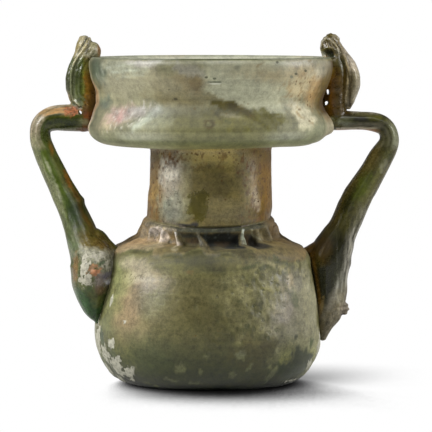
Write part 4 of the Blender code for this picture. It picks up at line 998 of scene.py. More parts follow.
def make_vessel():
    P, B, r, w = vessel_grid()
    skin = vessel_skin(P, B, r, w)
    n = grid_normals(P)
    if np.mean(np.sum(n[len(n) // 3] * np.stack([P[len(n) // 3, :, 0], P[len(n) // 3, :, 1], 0 * P[len(n) // 3, :, 0]], -1), -1)) < 0:
        n = -n
    d = vessel_relief(P, B, r, w, skin)
    hold = sstep(0.0, 0.4, P[..., 2])
    Q = P + n * (d * hold)[..., None]
    Q[..., 2] = np.clip(Q[..., 2], 0.0, RIM_Z)
    smooth_outer = P.copy()

    inner = inner_lines()
    inner = even(inner, [0, 1], 0.12)
    inner[:, :2] = relax(inner[:, :2], inner[:, 2], 60)
    inner = resample(inner[:, :2], [0, 1], INNER_ROWS,
                     lambda m: 1.0 + 1.5 * sstep(RIM_Z - 2.4, RIM_Z - 1.0, m[:, 1]))[1:]
    Bi = np.broadcast_to(B[0], (len(inner), SEGMENTS))
    a = np.radians(Bi) - math.pi / 2
    zi = inner[:, 1:2] + 0 * Bi
    ri = inner[:, 0:1] + 0 * Bi
    Pi = np.stack([axis_x(zi) + ri * np.cos(a), ri * np.sin(a), zi], -1)
    wob = 0.12 * fbm(Pi, 20.0, 2, 141) * sstep(RIM_Z - 1.0, RIM_Z - 6.0, zi)
    Pi[..., 0] += wob * np.cos(a)
    Pi[..., 1] += wob * np.sin(a)

    # underside: a slightly pushed-up base with the ring left by the pontil
    base_r = np.array([20.6, 19.0, 17.2, 15.0, 12.6, 10.2, 8.2, 7.2, 6.6, 6.0, 5.2, 3.6, 1.8])
    Bb = np.broadcast_to(B[0], (len(base_r), SEGMENTS))
    ab = np.radians(Bb) - math.pi / 2
    rb = base_r[:, None] + 0 * Bb
    zb = 1.0 * (1 - sstep(6.0, 19.5, rb)) - 0.35 * np.exp(-(((rb - 6.4) / 0.8) ** 2))
    Pb = np.stack([axis_x(0.0 * zb) + rb * np.cos(ab), rb * np.sin(ab), zb], -1)
    Pb[..., 2] += 0.05 * fbm(Pb, 3.0, 3, 143) * (zb > 0.15)
    Pb[..., 2] = np.maximum(Pb[..., 2], 0.0)

    no, ni, nb = len(P), len(Pi), len(Pb)
    verts = [Q.reshape(-1, 3), Pi.reshape(-1, 3), Pb.reshape(-1, 3)]
    o, i0, b0 = 0, no * SEGMENTS, (no + ni) * SEGMENTS
    quads = [grid_quads(0, no + ni, SEGMENTS), grid_quads(b0, nb, SEGMENTS)[:, ::-1]]
    j = np.arange(SEGMENTS)
    k = (j + 1) % SEGMENTS
    quads.append(np.stack([o + k, o + j, b0 + j, b0 + k], -1))
    tail = (no + ni + nb) * SEGMENTS
    top_centre = np.array([[axis_x(BASE_T), 0.0, BASE_T - 0.1]])
    low_centre = np.array([[axis_x(0.0), 0.0, 0.95]])
    verts += [top_centre, low_centre]
    last_in = (no + ni - 1) * SEGMENTS
    last_b = b0 + (nb - 1) * SEGMENTS
    tris = [(last_in + int(x), last_in + int(y), tail) for x, y in zip(j, k)]
    tris += [(last_b + int(y), last_b + int(x), tail + 1) for x, y in zip(j, k)]
    mesh = build_mesh("vessel_glass", np.concatenate(verts), np.concatenate(quads), tris)

    skins = [skin, inner_skin(Pi, Bi, ri), base_skin(Pb, Bb, rb)]
    whole = join_skins(skins)
    for key in whole:
        whole[key] = np.concatenate([whole[key], whole[key][[last_in]], whole[key][[last_b]]])
    wear(mesh, whole)
    return mesh, smooth_outer


# ---------------------------------------------------------------------- handles
# Rows after the CAD's: x, z, half thickness, half width, sideways shift.
LEFT_ROD = (
    (-30.4, 17.9, 0.9, 1.4, -7.2), (-31.2, 21.4, 3.4, 4.4, -7.8), (-31.8, 27.0, 5.45, 7.3, -8.2),
    (-31.7, 31.5, 6.05, 8.2, -8.2), (-32.0, 35.4, 6.3, 7.9, -7.6), (-34.4, 40.3, 4.65, 6.4, -6.2), (-35.6, 43.9, 4.25, 5.3, -5.1),
    (-37.5, 48.4, 3.85, 4.4, -4.0), (-39.3, 52.4, 3.85, 4.0, -3.2), (-41.5, 56.6, 3.45, 3.8, -2.4),
    (-45.0, 64.0, 3.2, 3.7, -1.2), (-46.6, 68.8, 2.9, 3.7, -0.8), (-46.2, 72.4, 2.95, 3.8, -0.6),
    (-43.1, 74.2, 3.4, 3.9, -0.4), (-39.0, 74.4, 3.7, 4.1, -0.2), (-33.0, 74.2, 3.6, 4.1, 0.0),
)
LEFT_STRAP = (
    (-34.7, 71.2, 1.5, 2.0, 0.0), (-34.4, 74.4, 3.4, 3.8, 0.0), (-34.0, 79.2, 4.2, 4.3, 0.0),
    (-34.4, 84.0, 3.8, 4.3, 0.0), (-34.4, 88.0, 3.3, 4.1, 0.0), (-34.3, 91.6, 2.6, 3.7, 0.0),
    (-34.2, 94.8, 2.4, 3.0, 0.0), (-34.1, 96.85, 1.8, 1.9, 0.0),
)
LEFT_LEAF = (
    (-37.1, 78.2, 0.7, 1.6, 0.0), (-37.6, 80.6, 1.3, 3.0, 0.0), (-38.0, 84.3, 1.6, 3.9, 0.0),
    (-37.5, 88.0, 1.5, 3.7, 0.0), (-36.0, 91.6, 1.25, 3.3, 0.0), (-35.2, 94.2, 1.2, 2.6, 0.0),
    (-34.6, 96.3, 0.9, 1.6, 0.0),
)
LEFT_LOBE = (-31.9, 93.0, 2.2, 3.2, 2.8)
LEFT_FLARE = ((-34.8, 40.9, 3.3, 4.0, -5.6), (-31.2, 40.6, 3.1, 3.4, -6.0), (-28.2, 38.9, 2.0, 3.0, -6.0),
              (-25.6, 37.3, 1.5, 2.6, -6.0))
RIGHT_ROD = (
    (32.6, 12.2, 1.1, 1.6, 2.6), (33.0, 15.4, 2.5, 3.8, 2.9), (34.1, 19.6, 4.3, 5.6, 3.1),
    (34.5, 24.5, 5.15, 6.6, 3.2), (34.4, 29.5, 5.4, 7.0, 3.1), (34.65, 34.6, 6.15, 6.9, 2.8),
    (36.7, 39.8, 5.2, 5.8, 2.4), (38.3, 42.9, 4.4, 5.0, 2.1), (39.95, 46.6, 4.25, 4.5, 1.7), (41.95, 51.4, 4.2, 4.2, 1.3),
    (45.5, 57.4, 3.75, 3.9, 0.9), (49.0, 63.5, 3.45, 3.7, 0.6), (51.2, 67.8, 2.8, 3.6, 0.4),
    (50.4, 71.4, 2.5, 3.5, 0.3), (47.2, 73.1, 2.6, 3.5, 0.3), (42.6, 73.55, 2.65, 3.7, 0.2),
    (34.5, 73.6, 2.8, 4.0, 0.2),
)
RIGHT_STRAP = (
    (36.0, 71.9, 1.0, 2.0, 0.2), (36.1, 74.6, 3.0, 3.8, 0.2), (35.6, 79.0, 3.4, 4.3, 0.2),
    (35.8, 84.5, 3.9, 4.3, 0.2), (35.9, 88.0, 3.5, 4.1, 0.2), (35.3, 91.5, 3.0, 3.8, 0.2),
    (34.7, 94.7, 2.8, 3.4, 0.2), (35.55, 97.05, 1.8, 1.9, 0.2),
)
RIGHT_LEAF = (
    (39.8, 77.4, 0.7, 1.5, 0.2), (40.3, 79.8, 1.5, 2.8, 0.2), (41.2, 83.4, 1.7, 3.8, 0.2),
    (41.0, 86.6, 1.7, 3.8, 0.2), (39.8, 89.8, 1.5, 3.4, 0.2), (37.9, 92.6, 1.3, 2.8, 0.2),
    (36.2, 95.4, 1.1, 1.9, 0.2),
)
RIGHT_KNOB = (38.8, 20.6, 1.35, 1.2, 1.9)
RIGHT_FLARE = ((36.8, 40.4, 2.6, 4.0, 2.3), (32.2, 38.6, 1.7, 3.4, 2.4), (27.4, 36.4, 1.2, 2.6, 2.4))

# Folded edges of the thumb-rests, seen from the front: x, z.
LEFT_CREASE = ((-32.8, 96.8), (-33.8, 94.7), (-35.5, 92.4), (-37.0, 90.2), (-37.8, 87.8), (-38.0, 85.6),
               (-38.0, 83.3), (-37.9, 81.1), (-37.2, 79.2), (-35.6, 78.0))
RIGHT_CREASE = ((36.8, 97.0), (38.0, 94.0), (38.9, 90.7), (39.6, 87.8), (39.5, 85.1), (39.15, 82.6),
                (38.95, 79.6), (39.3, 77.3), (40.5, 75.8))


def sweep(rows, sides, per_span):
    pts = np.array(spline(rows, per_span))
    c = pts[:, :2]
    t = np.empty_like(c)
    t[1:-1] = c[2:] - c[:-2]
    t[0], t[-1] = c[1] - c[0], c[-1] - c[-2]
    t /= np.linalg.norm(t, axis=1, keepdims=True)
    out = np.stack([t[:, 1], -t[:, 0]], 1)
    k = np.linspace(0, 2 * math.pi, sides, endpoint=False)
    x = pts[:, 0:1] + out[:, 0:1] * pts[:, 2:3] * np.cos(k)
    z = pts[:, 1:2] + out[:, 1:2] * pts[:, 2:3] * np.cos(k)
    y = pts[:, 4:5] + pts[:, 3:4] * np.sin(k)
    rings = np.stack([x, y, z], -1)
    caps = []
    for e, f, row in ((0, -1.0, pts[0]), (-1, 1.0, pts[-1])):
        step = min(row[2], 0.8)
        dome = []
        for q in (0.35, 0.7):
            s = math.sqrt(1 - q * q)
            ring = (rings[e] - rings[e].mean(0)) * s + rings[e].mean(0)
            ring = ring + f * q * step * np.array([t[e, 0], 0.0, t[e, 1]])
            dome.append(ring)
        tip = rings[e].mean(0) + f * step * np.array([t[e, 0], 0.0, t[e, 1]])
        caps.append((dome, tip))
    lo, hi = caps
    rings = np.concatenate([np.stack(lo[0][::-1]), rings, np.stack(hi[0])])
    n = len(rings)
    verts = np.concatenate([rings.reshape(-1, 3), [lo[1], hi[1]]])
    quads = grid_quads(0, n, sides)
    tris = []
    for i in range(sides):
        j = (i + 1) % sides
        tris.append((j, i, n * sides))
        tris.append(((n - 1) * sides + i, (n - 1) * sides + j, n * sides + 1))
    return verts, quads, tris


def ball(spec, y=0.0, rings=24, sides=32):
    x, z, a, b, c = spec
    th = np.linspace(0, math.pi, rings + 1)[1:-1]
    k = np.linspace(0, 2 * math.pi, sides, endpoint=False)
    grid = np.stack([x + a * np.sin(th)[:, None] * np.cos(k), y + b * np.sin(th)[:, None] * np.sin(k),
                     z - c * np.cos(th)[:, None] + 0 * k], -1)
    n = len(grid)
    verts = np.concatenate([grid.reshape(-1, 3), [(x, y, z - c), (x, y, z + c)]])
    quads = grid_quads(0, n, sides)
    tris = []
    for i in range(sides):
        j = (i + 1) % sides
        tris.append((j, i, n * sides))
        tris.append(((n - 1) * sides + i, (n - 1) * sides + j, n * sides + 1))
    return verts, quads, tris


def joined(parts):
    verts, faces, base = [], [], 0
    for v, q, t in parts:
        verts.append(v)
        faces += [tuple(int(a) + base for a in f) for f in q.tolist()]
        faces += [tuple(int(a) + base for a in f) for f in t]
        base += len(v)
    return np.concatenate(verts), faces


def evaluated(ob):
    graph = bpy.context.evaluated_depsgraph_get()
    return bpy.data.meshes.new_from_object(ob.evaluated_get(graph), depsgraph=graph)


def scratch_object(name, verts, faces):
    mesh = bpy.data.meshes.new(name)
    mesh.from_pydata(np.asarray(verts).tolist(), [], faces)
    mesh.update()
    ob = bpy.data.objects.new(name, mesh)
    bpy.context.scene.collection.objects.link(ob)
    return ob


def drop(ob):
    mesh = ob.data
    bpy.data.objects.remove(ob, do_unlink=True)
    bpy.data.meshes.remove(mesh)


def points_of(mesh):
    co = np.empty(len(mesh.vertices) * 3, np.float32)
    mesh.vertices.foreach_get("co", co)
    return co.reshape(-1, 3).astype(float)


def normals_of(mesh):
    co = np.empty(len(mesh.vertices) * 3, np.float32)
    mesh.vertex_normals.foreach_get("vector", co)
    return co.reshape(-1, 3).astype(float)


def edges_of(mesh):
    e = np.empty(len(mesh.edges) * 2, np.int32)
    mesh.edges.foreach_get("vertices", e)
    return e.reshape(-1, 2)


def soften(p, edges, rounds, keep=None, lam=0.5, mu=-0.52):
    """Taubin smoothing; keep is how much of it each point takes."""
    n = len(p)
    deg = np.maximum(np.bincount(edges.ravel(), minlength=n), 1)[:, None]
    for k in range(rounds):
        f = lam if k % 2 == 0 else mu
        acc = np.empty_like(p)
        for c in range(3):
            acc[:, c] = np.bincount(edges[:, 0], p[edges[:, 1], c], n) + np.bincount(edges[:, 1], p[edges[:, 0], c], n)
        move = f * (acc / deg - p)
        p = p + (move if keep is None else move * keep[:, None])
    return p


def fused(name, parts, voxel, holes):
    """The parts melted into one skin (millimetres), pierced by the holes."""
    verts, faces = joined(parts)
    ob = scratch_object(name + "_raw", verts, faces)
    mod = ob.modifiers.new("melt", "REMESH")
    mod.mode = "VOXEL"
    mod.voxel_size = voxel
    mod.adaptivity = 0.0
    mesh = evaluated(ob)
    drop(ob)
    p = soften(points_of(mesh), edges_of(mesh), 10)
    mesh.vertices.foreach_set("co", p.astype(np.float32).ravel())
    mesh.update()
    if holes:
        ob = bpy.data.objects.new(name + "_solid", mesh)
        bpy.context.scene.collection.objects.link(ob)
        cutters = []
        for hx, hz, a, c, rot in holes:
            k = np.linspace(0, 2 * math.pi, 14, endpoint=False)
            u, v = a * np.cos(k) * (1 + 0.12 * np.sin(3 * k)), c * np.sin(k)
            q = math.radians(rot)
            x = hx + u * math.cos(q) - v * math.sin(q)
            z = hz + u * math.sin(q) + v * math.cos(q)
            vv = [(x[i], y, z[i]) for y in (-9.0, 9.0) for i in range(14)]
            ff = [tuple(range(13, -1, -1)), tuple(range(14, 28))]
            ff += [(i, (i + 1) % 14, 14 + (i + 1) % 14, 14 + i) for i in range(14)]
            cut = scratch_object(name + "_cut%d" % len(cutters), vv, ff)
            bm = bmesh.new()
            bm.from_mesh(cut.data)
            bmesh.ops.recalc_face_normals(bm, faces=bm.faces[:])
            bm.to_mesh(cut.data)
            bm.free()
            cutters.append(cut)
            mod = ob.modifiers.new("pierce", "BOOLEAN")
            mod.operation = "DIFFERENCE"
            mod.solver = "EXACT"
            mod.object = cut
        new = evaluated(ob)
        drop(ob)
        for cut in cutters:
            drop(cut)
        mesh = new
    return mesh


def seat(p, tree, sink):
    """Points deeper than sink below the vessel's skin are brought up to it."""
    out = p.copy()
    for i in range(len(p)):
        hit, normal, _, dist = tree.find_nearest(Vector(p[i]), 12.0)
        if hit is None:
            continue
        side = (Vector(p[i]) - hit).dot(normal)
        if side < -sink:
            out[i] = hit - normal * sink
    return out


def line_distance(x, z, line):
    """Distance from each point to a polyline in the (x, z) plane, with the side."""
    best = np.full(len(x), 1e9)
    side = np.zeros(len(x))
    run = np.zeros(len(x))
    done = 0.0
    for (x0, z0), (x1, z1) in zip(line, line[1:]):
        dx, dz = x1 - x0, z1 - z0
        L = math.hypot(dx, dz)
        t = np.clip(((x - x0) * dx + (z - z0) * dz) / (L * L), 0, 1)
        ex, ez = x - x0 - t * dx, z - z0 - t * dz
        d = np.hypot(ex, ez)
        m = d < best
        best[m] = d[m]
        side[m] = np.sign(dx * ez - dz * ex)[m]
        run[m] = (done + t * L)[m]
        done += L
    return best, side, run


def flat_blob(s, x0, z0, a, c, rot=0.0, soft=0.3, rag=0.45, seed=0, face=None):
    """A ragged oval at (x0, z0) on the handle; face -1 keeps it to the front."""
    k = math.radians(rot)
    u, v = s["p"][:, 0] - x0, s["p"][:, 2] - z0
    p = (u * math.cos(k) + v * math.sin(k)) / a
    q = (-u * math.sin(k) + v * math.cos(k)) / c
    d = np.sqrt(p * p + q * q)
    near = d < 2.6
    n = np.zeros_like(d)
    if rag:
        n[near] = fbm(s["p"][near], max(0.7, 0.6 * min(a, c)), 4, 300 + seed + int(abs(x0 * 7 + z0 * 13)) % 997)
    out = 1 - sstep(1 - soft, 1 + soft, d + rag * n)
    if face is not None:
        out = out * sstep(-0.6, 0.6, face * (s["p"][:, 1] - s["mid"]))
    return out


def rod_space(p, rod):
    """(offset across the trail, y, distance along it) for every point."""
    line = [(r[0], r[1]) for r in spline(rod, 8)]
    d, side, run = line_distance(p[:, 0], p[:, 2], line)
    return np.stack([d * side, p[:, 1], run], 1)


def fold(p, n, line, rise, groove, groove_side):
    """A folded edge: a thin raised line with a shallow groove along one side of it."""
    d, side, run = line_distance(p[:, 0], p[:, 2], line)
    away = d * side * groove_side
    facing = sstep(0.15, 0.6, np.abs(n[:, 1]))
    welt = np.exp(-((away / 0.32) ** 2)) * facing
    g = np.exp(-(((away - 0.68) / 0.34) ** 2)) * facing
    return rise * welt - groove * g, g, welt


def finish_handle(name, mesh, tree, rod, shape, colour):
    p = points_of(mesh)
    p = seat(p, tree, 0.35)
    edges = edges_of(mesh)
    mesh.vertices.foreach_set("co", p.astype(np.float32).ravel())
    mesh.update()
    n = normals_of(mesh)
    along = rod_space(p, rod)
    s = new_skin(p, p[:, 0], p[:, 2], p[:, 1])
    low = [r for r in rod if r[1] < 68.0]
    s["mid"] = np.interp(p[:, 2], [r[1] for r in low], [r[4] for r in low])
    s["across"] = (p[:, 0] - np.interp(p[:, 2], [r[1] for r in low], [r[0] for r in low])) / np.interp(
        p[:, 2], [r[1] for r in low], [r[2] for r in low])
    s["n"] = n
    s["along"] = along
    d = shape(p, n, s)
    q = p + n * d[:, None]
    mesh.vertices.foreach_set("co", q.astype(np.float32).ravel())
    mesh.update()
    colour(s)
    mesh.vertices.foreach_set("co", (q * MM).astype(np.float32).ravel())
    mesh.update()
    mesh.name = name
    mesh.shade_smooth()
    wear(mesh, s, s["along"] * MM)
    return mesh


def trail_relief(p, along, seed):
    """Drawn-out lines along the trail, and slow lumps in it."""
    q = np.stack([along[:, 0] / 0.55, along[:, 1] / 0.55, along[:, 2] / 16.0], 1)
    d = 0.045 * value_noise(q, seed)
    q = np.stack([along[:, 0] / 1.6, along[:, 1] / 1.6, along[:, 2] / 22.0], 1)
    d = d + 0.10 * value_noise(q, seed + 3)
    return d + 0.12 * fbm(p, 6.0, 2, seed + 7)


def left_shape(p, n, s):
    d = trail_relief(p, s["along"], 401)
    c, g, welt = fold(p, n, LEFT_CREASE, 0.20, 0.42, -1)
    s["crease"], s["welt"] = g, welt
    d += c
    # fine pleats run round the leaf beside the fold
    e, side, _ = line_distance(p[:, 0], p[:, 2], LEFT_CREASE)
    s["from_fold"] = e * side
    leaf = sstep(77.0, 79.0, p[:, 2]) * sstep(0.3, 0.7, np.abs(n[:, 1]))
    d += 0.07 * leaf * np.sin(s["from_fold"] * 5.2 + 0.5) * (1 - sstep(3.0, 4.5, e))
    # the fold's inner lobe is parted from the outer one by a furrow
    furrow = ((-33.0, 97.2), (-33.0, 95.2), (-33.5, 92.4))
    e, _, _ = line_distance(p[:, 0], p[:, 2], furrow)
    f = np.exp(-((e / 0.32) ** 2))
    s["furrow"] = f
    d -= 0.35 * f
    # a drip on the inner edge of the rod
    e = np.hypot(p[:, 0] + 34.9, p[:, 2] - 51.6)
    d += 0.5 * np.exp(-((e / 1.1) ** 2))
    d += 0.09 * sstep(0.4, 0.62, 0.9 * flat_blob(s, -33.2, 32.1, 2.4, 4.9, 0, 0.3, 0.5, face=-1))
    return d


def left_colour(s):
    p, along, u = s["p"], s["along"], s["across"]
    x, z = p[:, 0], p[:, 2]
    n1, n2 = fbm(p, 7.0, 4, 411), fbm(p, 2.2, 3, 413)
    streak = value_noise(np.stack([along[:, 0] / 0.5, along[:, 1] / 0.6, along[:, 2] / 14.0], 1), 415)
    wide = value_noise(np.stack([along[:, 0] / 1.8, along[:, 1] / 1.8, along[:, 2] / 12.0], 1), 416)
    s["tone"] += np.array((0.046, 0.056, 0.010)) - s["tone"]
    s["rough"][:] = 0.26
    s["clear"][:] = 0.15
    s["grain"][:] = 0.5
    paint(s, sstep(0.0, 0.9, n1) * 0.4, (0.060, 0.060, 0.012))
    paint(s, sstep(0.1, 0.9, wide) * 0.4, (0.032, 0.044, 0.008))
    up = sstep(41.0, 46.0, z) * (1 - sstep(66.0, 70.0, z))
    # the rod: greyed along its outer side, partly grey film and partly painted highlight; dark down the middle, brown
    # along its inner side
    outer = up * (1 - sstep(-0.55, -0.10, u + 0.25 * wide))
    paint(s, outer * 0.85, lerp(np.array((0.085, 0.098, 0.050)), np.array((0.135, 0.140, 0.062)), 0.5)[None, :])
    paint(s, outer * sstep(0.0, 0.6, streak) * 0.6, (0.145, 0.160, 0.080))
    inner = up * sstep(0.15, 0.45, u + 0.2 * wide)
    paint(s, inner * 0.8, (0.074, 0.084, 0.012), rough=0.52)
    paint(s, flat_blob(s, -36.6, 43.0, 2.0, 3.6, 14, 0.6, 0.2) * 0.9, rough=0.5)
    low_in = inner * (1 - sstep(56.0, 60.0, z + 2 * n1))
    paint(s, low_in * 0.5, (0.070, 0.056, 0.009))
    middle = up * sstep(-0.55, -0.25, u + 0.2 * wide) * (1 - sstep(0.25, 0.55, u + 0.2 * wide))
    paint(s, middle * 0.7, (0.046, 0.072, 0.006), rough=0.36)
    for x0, z0, a, c, rot, tone in (
        (-38.7, 57.2, 0.55, 2.6, 24, (0.210, 0.085, 0.008)), (-36.4, 53.2, 0.60, 2.2, 24, (0.130, 0.066, 0.008)),
        (-43.4, 66.2, 0.50, 1.8, 18, (0.190, 0.085, 0.010)), (-33.6, 46.4, 0.55, 3.0, 34, (0.120, 0.062, 0.006)),
        (-35.2, 49.8, 0.50, 2.0, 20, (0.100, 0.058, 0.008)),
    ):
        paint(s, flat_blob(s, x0, z0, a, c, rot, 0.6, 0.5) * 0.85, tone)
    paint(s, flat_blob(s, -44.0, 60.4, 0.40, 2.6, 26, 0.7, 0.5) * 0.6, (0.22, 0.225, 0.15))
    paint(s, flat_blob(s, -41.6, 54.6, 0.45, 2.6, 24, 0.7, 0.5) * 0.6, (0.22, 0.225, 0.14))
    # the flare to the shoulder
    paint(s, flat_blob(s, -31.0, 40.0, 5.4, 3.4, -38, 0.7, 0.4) * 0.85, (0.092, 0.066, 0.013))
    paint(s, flat_blob(s, -28.0, 38.4, 3.2, 1.6, -30, 0.6, 0.5) * 0.6, (0.125, 0.078, 0.022))
    paint(s, flat_blob(s, -37.2, 38.4, 1.9, 3.6, 14, 0.7, 0.5) * 0.6, (0.105, 0.135, 0.075))
    for x0, z0, a, c in ((-41.0, 52.0, 0.35, 1.6), (-39.6, 47.6, 0.35, 1.4), (-38.6, 44.8, 0.4, 1.0), (-37.2, 40.9, 0.45, 1.0)):
        paint(s, flat_blob(s, x0, z0, a, c, 18, 0.6, 0.6) * 0.55, (0.21, 0.22, 0.15))
    # bend: pale silvery stripes round the outside, green within
    bend = sstep(65.0, 69.0, z) * (1 - sstep(-42.0, -39.0, x))
    out = np.hypot(x + 41.3, z - 70.2)
    ring = np.sin(out * 5.0 + 0.6 * n1)
    rim = bend * sstep(5.0, 5.8, out)
    paint(s, bend * 0.7, (0.055, 0.072, 0.015))
    paint(s, rim * 0.85, (0.235, 0.20, 0.13), rough=0.28)
    paint(s, rim * sstep(0.1, 0.9, ring) * 0.7, (0.38, 0.32, 0.235))
    paint(s, rim * (1 - sstep(67.5, 72.0, z)) * 0.8, (0.135, 0.14, 0.07))
    # the level length: cream and rust on top, near-black green beneath, a pale line under that
    top = sstep(74.7, 75.6, z + 0.35 * n2) * (1 - sstep(-37.5, -36.5, x)) * (1 - sstep(78.2, 79.2, z))
    paint(s, top * 0.9, (0.225, 0.145, 0.058), rough=0.4)
    paint(s, top * sstep(76.6, 77.3, z + 0.3 * streak) * 0.7, (0.40, 0.33, 0.23))
    paint(s, top * sstep(0.15, 0.6, streak) * 0.45, (0.11, 0.075, 0.025))
    paint(s, flat_blob(s, -41.9, 75.3, 2.2, 0.35, 6, 0.4, 0.4) * 0.8, (0.035, 0.035, 0.010))
    body = sstep(-45.8, -44.6, x) * (1 - sstep(-35.2, -34.2, x)) * sstep(71.9, 72.4, z) * (1 - sstep(74.5, 75.2, z + 0.3 * n2))
    paint(s, body * 0.9, (0.034, 0.040, 0.006), rough=0.22)
    paint(s, body * sstep(0.0, 0.6, n2) * 0.6, (0.022, 0.040, 0.006))
    paint(s, flat_blob(s, -42.4, 72.4, 2.6, 0.5, 8, 0.5, 0.4) * 0.6, (0.165, 0.165, 0.105))
    paint(s, flat_blob(s, -35.4, 72.1, 1.0, 1.9, 0, 0.5, 0.5) * 0.7, (0.100, 0.098, 0.048))
    line = np.exp(-(((z - 71.15 - 0.05 * (x + 40.0)) / 0.42) ** 2)) * sstep(-44.2, -43.0, x) * (1 - sstep(-37.0, -35.5, x))
    paint(s, line * 0.8, (0.165, 0.16, 0.095))
    fringe = (1 - sstep(70.4, 71.0, z)) * sstep(69.0, 69.6, z) * sstep(-43.5, -42.0, x)
    paint(s, fringe * 0.8, (0.19, 0.10, 0.035))
    for x0, z0, a, c, rot in ((-41.4, 77.0, 2.2, 0.28, 10), (-42.6, 76.0, 2.4, 0.22, 18), (-40.0, 76.2, 1.8, 0.22, 4)):
        paint(s, flat_blob(s, x0, z0, a, c, rot, 0.5, 0.4) * 0.8, (0.34, 0.185, 0.065))
    paint(s, flat_blob(s, -42.4, 75.3, 2.2, 0.30, 9, 0.4, 0.3) * 0.9, (0.030, 0.034, 0.010))
    paint(s, flat_blob(s, -39.2, 77.6, 2.4, 0.22, 4, 0.5, 0.3) * 0.7, (0.070, 0.050, 0.016))
    paint(s, flat_blob(s, -43.4, 76.8, 2.0, 0.20, 24, 0.5, 0.3) * 0.7, (0.090, 0.070, 0.026))
    rust = flat_blob(s, -37.4, 76.5, 2.1, 1.25, 8, 0.45, 0.5)
    paint(s, rust * 0.95, (0.150, 0.040, 0.006), rough=0.6)
    q = np.stack([p[:, 0] / 0.52, p[:, 1] / 0.52, z / 0.44], 1)
    net = 1 - sstep(0.05, 0.30, np.abs(value_noise(q, 433)))
    paint(s, rust * net * 0.95, (0.46, 0.155, 0.060))
    paint(s, rust * sstep(0.35, 0.75, np.abs(value_noise(q, 435))) * 0.8, (0.045, 0.016, 0.004))
    s["soil"] = np.maximum(s["soil"], 0.5 * rust)
    # strap: brown seen through the glass, a dark green face beside it
    strap = sstep(70.0, 71.5, z) * sstep(-35.2, -33.6, x + 0.5 * n2)
    paint(s, strap * (1 - sstep(91.0, 94.0, z)) * 0.95, (0.082, 0.046, 0.005), rough=0.3)
    paint(s, strap * sstep(0.0, 0.7, n2) * (1 - sstep(88.0, 91.0, z)) * 0.6, (0.135, 0.062, 0.008))
    paint(s, strap * sstep(0.1, 0.7, -n2) * (1 - sstep(88.0, 91.0, z)) * 0.5, (0.045, 0.028, 0.003))
    paint(s, strap * sstep(-33.0, -31.4, x + 0.4 * n2) * (1 - sstep(84.0, 87.0, z)) * 0.40, (0.050, 0.028, 0.002))
    paint(s, strap * (1 - sstep(78.0, 81.5, z + 0.6 * n2)) * 0.5, (0.040, 0.022, 0.002))
    for x0, z0 in ((-33.6, 83.4), (-33.9, 78.0), (-33.3, 80.6)):
        e = np.hypot(x - x0, (z - z0) * 0.9)
        paint(s, strap * np.exp(-(((e - 0.62) / 0.2) ** 2)) * 0.6, (0.15, 0.085, 0.018))
    paint(s, flat_blob(s, -33.0, 75.0, 1.4, 1.4, 0, 0.5, 0.5) * 0.8, (0.15, 0.045, 0.010))
    paint(s, flat_blob(s, -34.0, 71.0, 2.6, 1.0, 10, 0.5, 0.4) * 0.8, (0.145, 0.050, 0.016))
    paint(s, flat_blob(s, -33.9, 73.5, 1.3, 0.8, 0, 0.5, 0.4) * 0.6, (0.13, 0.13, 0.065))
    paint(s, strap * sstep(86.0, 88.5, z) * (1 - sstep(90.6, 92.0, z)) * 0.8, (0.040, 0.046, 0.010))
    # leaf
    face = sstep(77.5, 78.5, z) * (1 - sstep(-35.0, -33.7, x + 0.5 * n2))
    k = s["from_fold"]
    lines = value_noise(np.stack([k / 0.42, along[:, 1] / 1.4, z / 9.0], 1), 421)
    paint(s, face * 0.95, (0.050, 0.062, 0.014), rough=0.24)
    paint(s, face * (k < 0) * (1 - sstep(90.4, 91.6, z)) * 0.8, (0.062, 0.070, 0.036))
    silver = face * sstep(-0.1, 0.1, k) * (1 - sstep(1.0, 1.8, k))
    paint(s, silver * (0.45 + 0.35 * sstep(0.0, 0.5, lines)), (0.155, 0.165, 0.095))
    paint(s, face * sstep(0.15, 0.6, lines) * 0.45, (0.115, 0.125, 0.062))
    paint(s, face * sstep(0.25, 0.7, -lines) * 0.5, (0.028, 0.035, 0.007))
    edge = face * (1 - sstep(0.0, 0.7, x + np.interp(z, (78.0, 82.0, 86.0, 90.0, 94.0), (38.0, 39.3, 39.5, 39.0, 36.6))))
    paint(s, edge * 0.4, (0.16, 0.165, 0.11))
    tail = face * (1 - sstep(79.0, 81.5, z))
    paint(s, tail * 0.5, (0.060, 0.066, 0.030))
    paint(s, edge * (1 - sstep(80.5, 83.0, z)) * 0.8, (0.34, 0.26, 0.17))
    crown = sstep(91.0, 92.4, z + 0.35 * (k < 0))
    paint(s, crown * 0.9, (0.26, 0.22, 0.115), rough=0.3, clear=0.2)
    paint(s, crown * (k < 0) * sstep(-36.2, -35.2, -np.abs(x)) * 0.5, (0.42, 0.395, 0.30))
    paint(s, crown * sstep(0.0, 0.6, lines) * 0.5, (0.40, 0.36, 0.26))
    paint(s, crown * sstep(0.1, 0.6, -lines) * 0.55, (0.15, 0.13, 0.06))
    inner_lobe = crown * sstep(0.35, 0.8, k)
    paint(s, inner_lobe * 0.8, (0.17, 0.165, 0.10))
    paint(s, inner_lobe * sstep(0.0, 0.5, lines) * 0.5, (0.27, 0.25, 0.18))
    paint(s, inner_lobe * (1 - sstep(91.5, 93.0, z)) * sstep(-34.0, -33.0, x) * 0.7, (0.125, 0.13, 0.075))
    paint(s, crown * sstep(-30.9, -30.0, x) * 0.85, (0.155, 0.072, 0.020))
